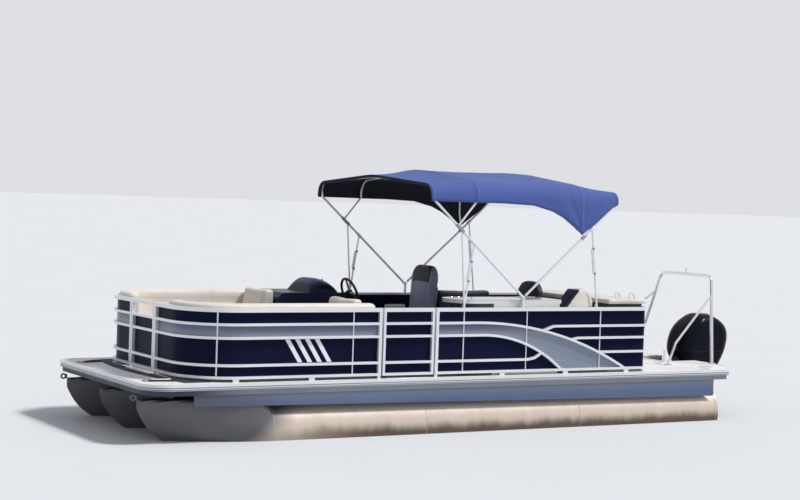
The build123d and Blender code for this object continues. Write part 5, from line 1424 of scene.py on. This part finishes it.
# Columns: strut, place of its foot, place and height of its top
struts = (("front", 0.189, 0.092, 1.879), ("rear", -1.477, -1.383, 2.088))
for strut, foot_x, top_x, top_z in struts:
    for side, place in both_sides:
        foot = Vector((foot_x, side * leg_y, strut_foot_z))
        top = Vector((top_x, side * leg_y, top_z))
        along = (top - foot).normalized()
        shift = (Vector((1, 0, 0)) - along * along.x).normalized() * slide_gap
        ends = [foot.lerp(top, share) for share in slide_ends]
        rods(
            f"strut_slide_{strut}_{place}", [[end + shift for end in ends]], 0.0095,
            bright_finish, "hull",
        )
        for index, end in enumerate(ends):
            turned(
                f"strut_clamp_{strut}_{place}_{index}", end, along, clamp_profile, nylon_finish,
                "hull", 16,
            )
bolt_profile = [(0, -0.006), (0.010, -0.006), (0.012, -0.004), (0.012, 0.004), (0.010, 0.006), (0, 0.006)]
for side, place in both_sides:
    turned(
        f"pivot_bolt_{place}", (pivot[0], side * (leg_y + 0.0165), pivot[1]), (0, side, 0), bolt_profile,
        chrome_finish, "hull", 20,
    )

# Tow bar of polished stainless tube, with four flanges that are held down with hexagon screws;
# the cleats' steel is used for it.
chrome_finish.on("tow_bar")
screw_profile = [(0, 0.005), (0.006, 0.005), (0.0075, 0.0035), (0.0075, 0), (0, 0)]
screw_circle = 0.030
flange_y = 0.70
flanges = [(x, side * flange_y, z) for x, z in ((-3.53, 0.5743), (-2.888, 0.5703)) for side in (1, -1)]
for number, flange in enumerate(flanges):
    for index in range(4):
        angle = math.radians(45 + 90 * index)
        out = Vector((screw_circle * math.cos(angle), screw_circle * math.sin(angle), 0))
        turned(
            f"flange_screw_{number}_{index}", Vector(flange) + out, (0, 0, 1), screw_profile,
            base_finish, "hull", 6,
        )

# Outboard motor: a glossy black moulded cowl over a cast leg, with a steel propeller. The cowl
# parts from its chin at a rubber seal, and a shallow line runs round it below.
cowl_finish = Finish("cowl_black", shade(15, 17, 24), 0.25, 0.0, Specular_IOR_Level=0.07)
cowl_wave = cowl_finish.noise(2.2, 3)
cowl_finish.paint(cowl_wave, shade(10, 12, 18), shade(20, 24, 36))
seal_z = 0.655
chin_z = 0.56
seal_line = (0.004 - abs(cowl_finish.z - seal_z)).rise(0, groove_fade)
chin_line = (0.003 - abs(cowl_finish.z - chin_z)).rise(0, groove_fade)
cowl_finish.set("Roughness", 0.14 + 0.1 * cowl_wave + 0.5 * seal_line)
cowl_finish.bump(1 - seal_line - chin_line * 0.6, 0.004)
cowl_finish.on("motor_cowl")
leg_finish = Finish("motor_paint", shade(20, 21, 25), 0.4, 0.0, Specular_IOR_Level=0.12)
leg_worn = leg_finish.noise(12, 5)
leg_finish.paint(leg_worn.rise(0.55, 0.8), shade(20, 21, 25), shade(52, 53, 56))
leg_finish.set("Roughness", 0.3 + 0.25 * leg_worn)
leg_finish.grain(300, 0.0003)
leg_finish.on("motor_leg", "swivel_bracket", "transom_bracket")
blade_finish = Finish("propeller_steel", shade(168, 170, 174), 0.25, 1.0)
blade_finish.set("Roughness", 0.2 + 0.2 * blade_finish.noise(40, 3, (1, 1, 0.2)))
blade_finish.on("propeller")
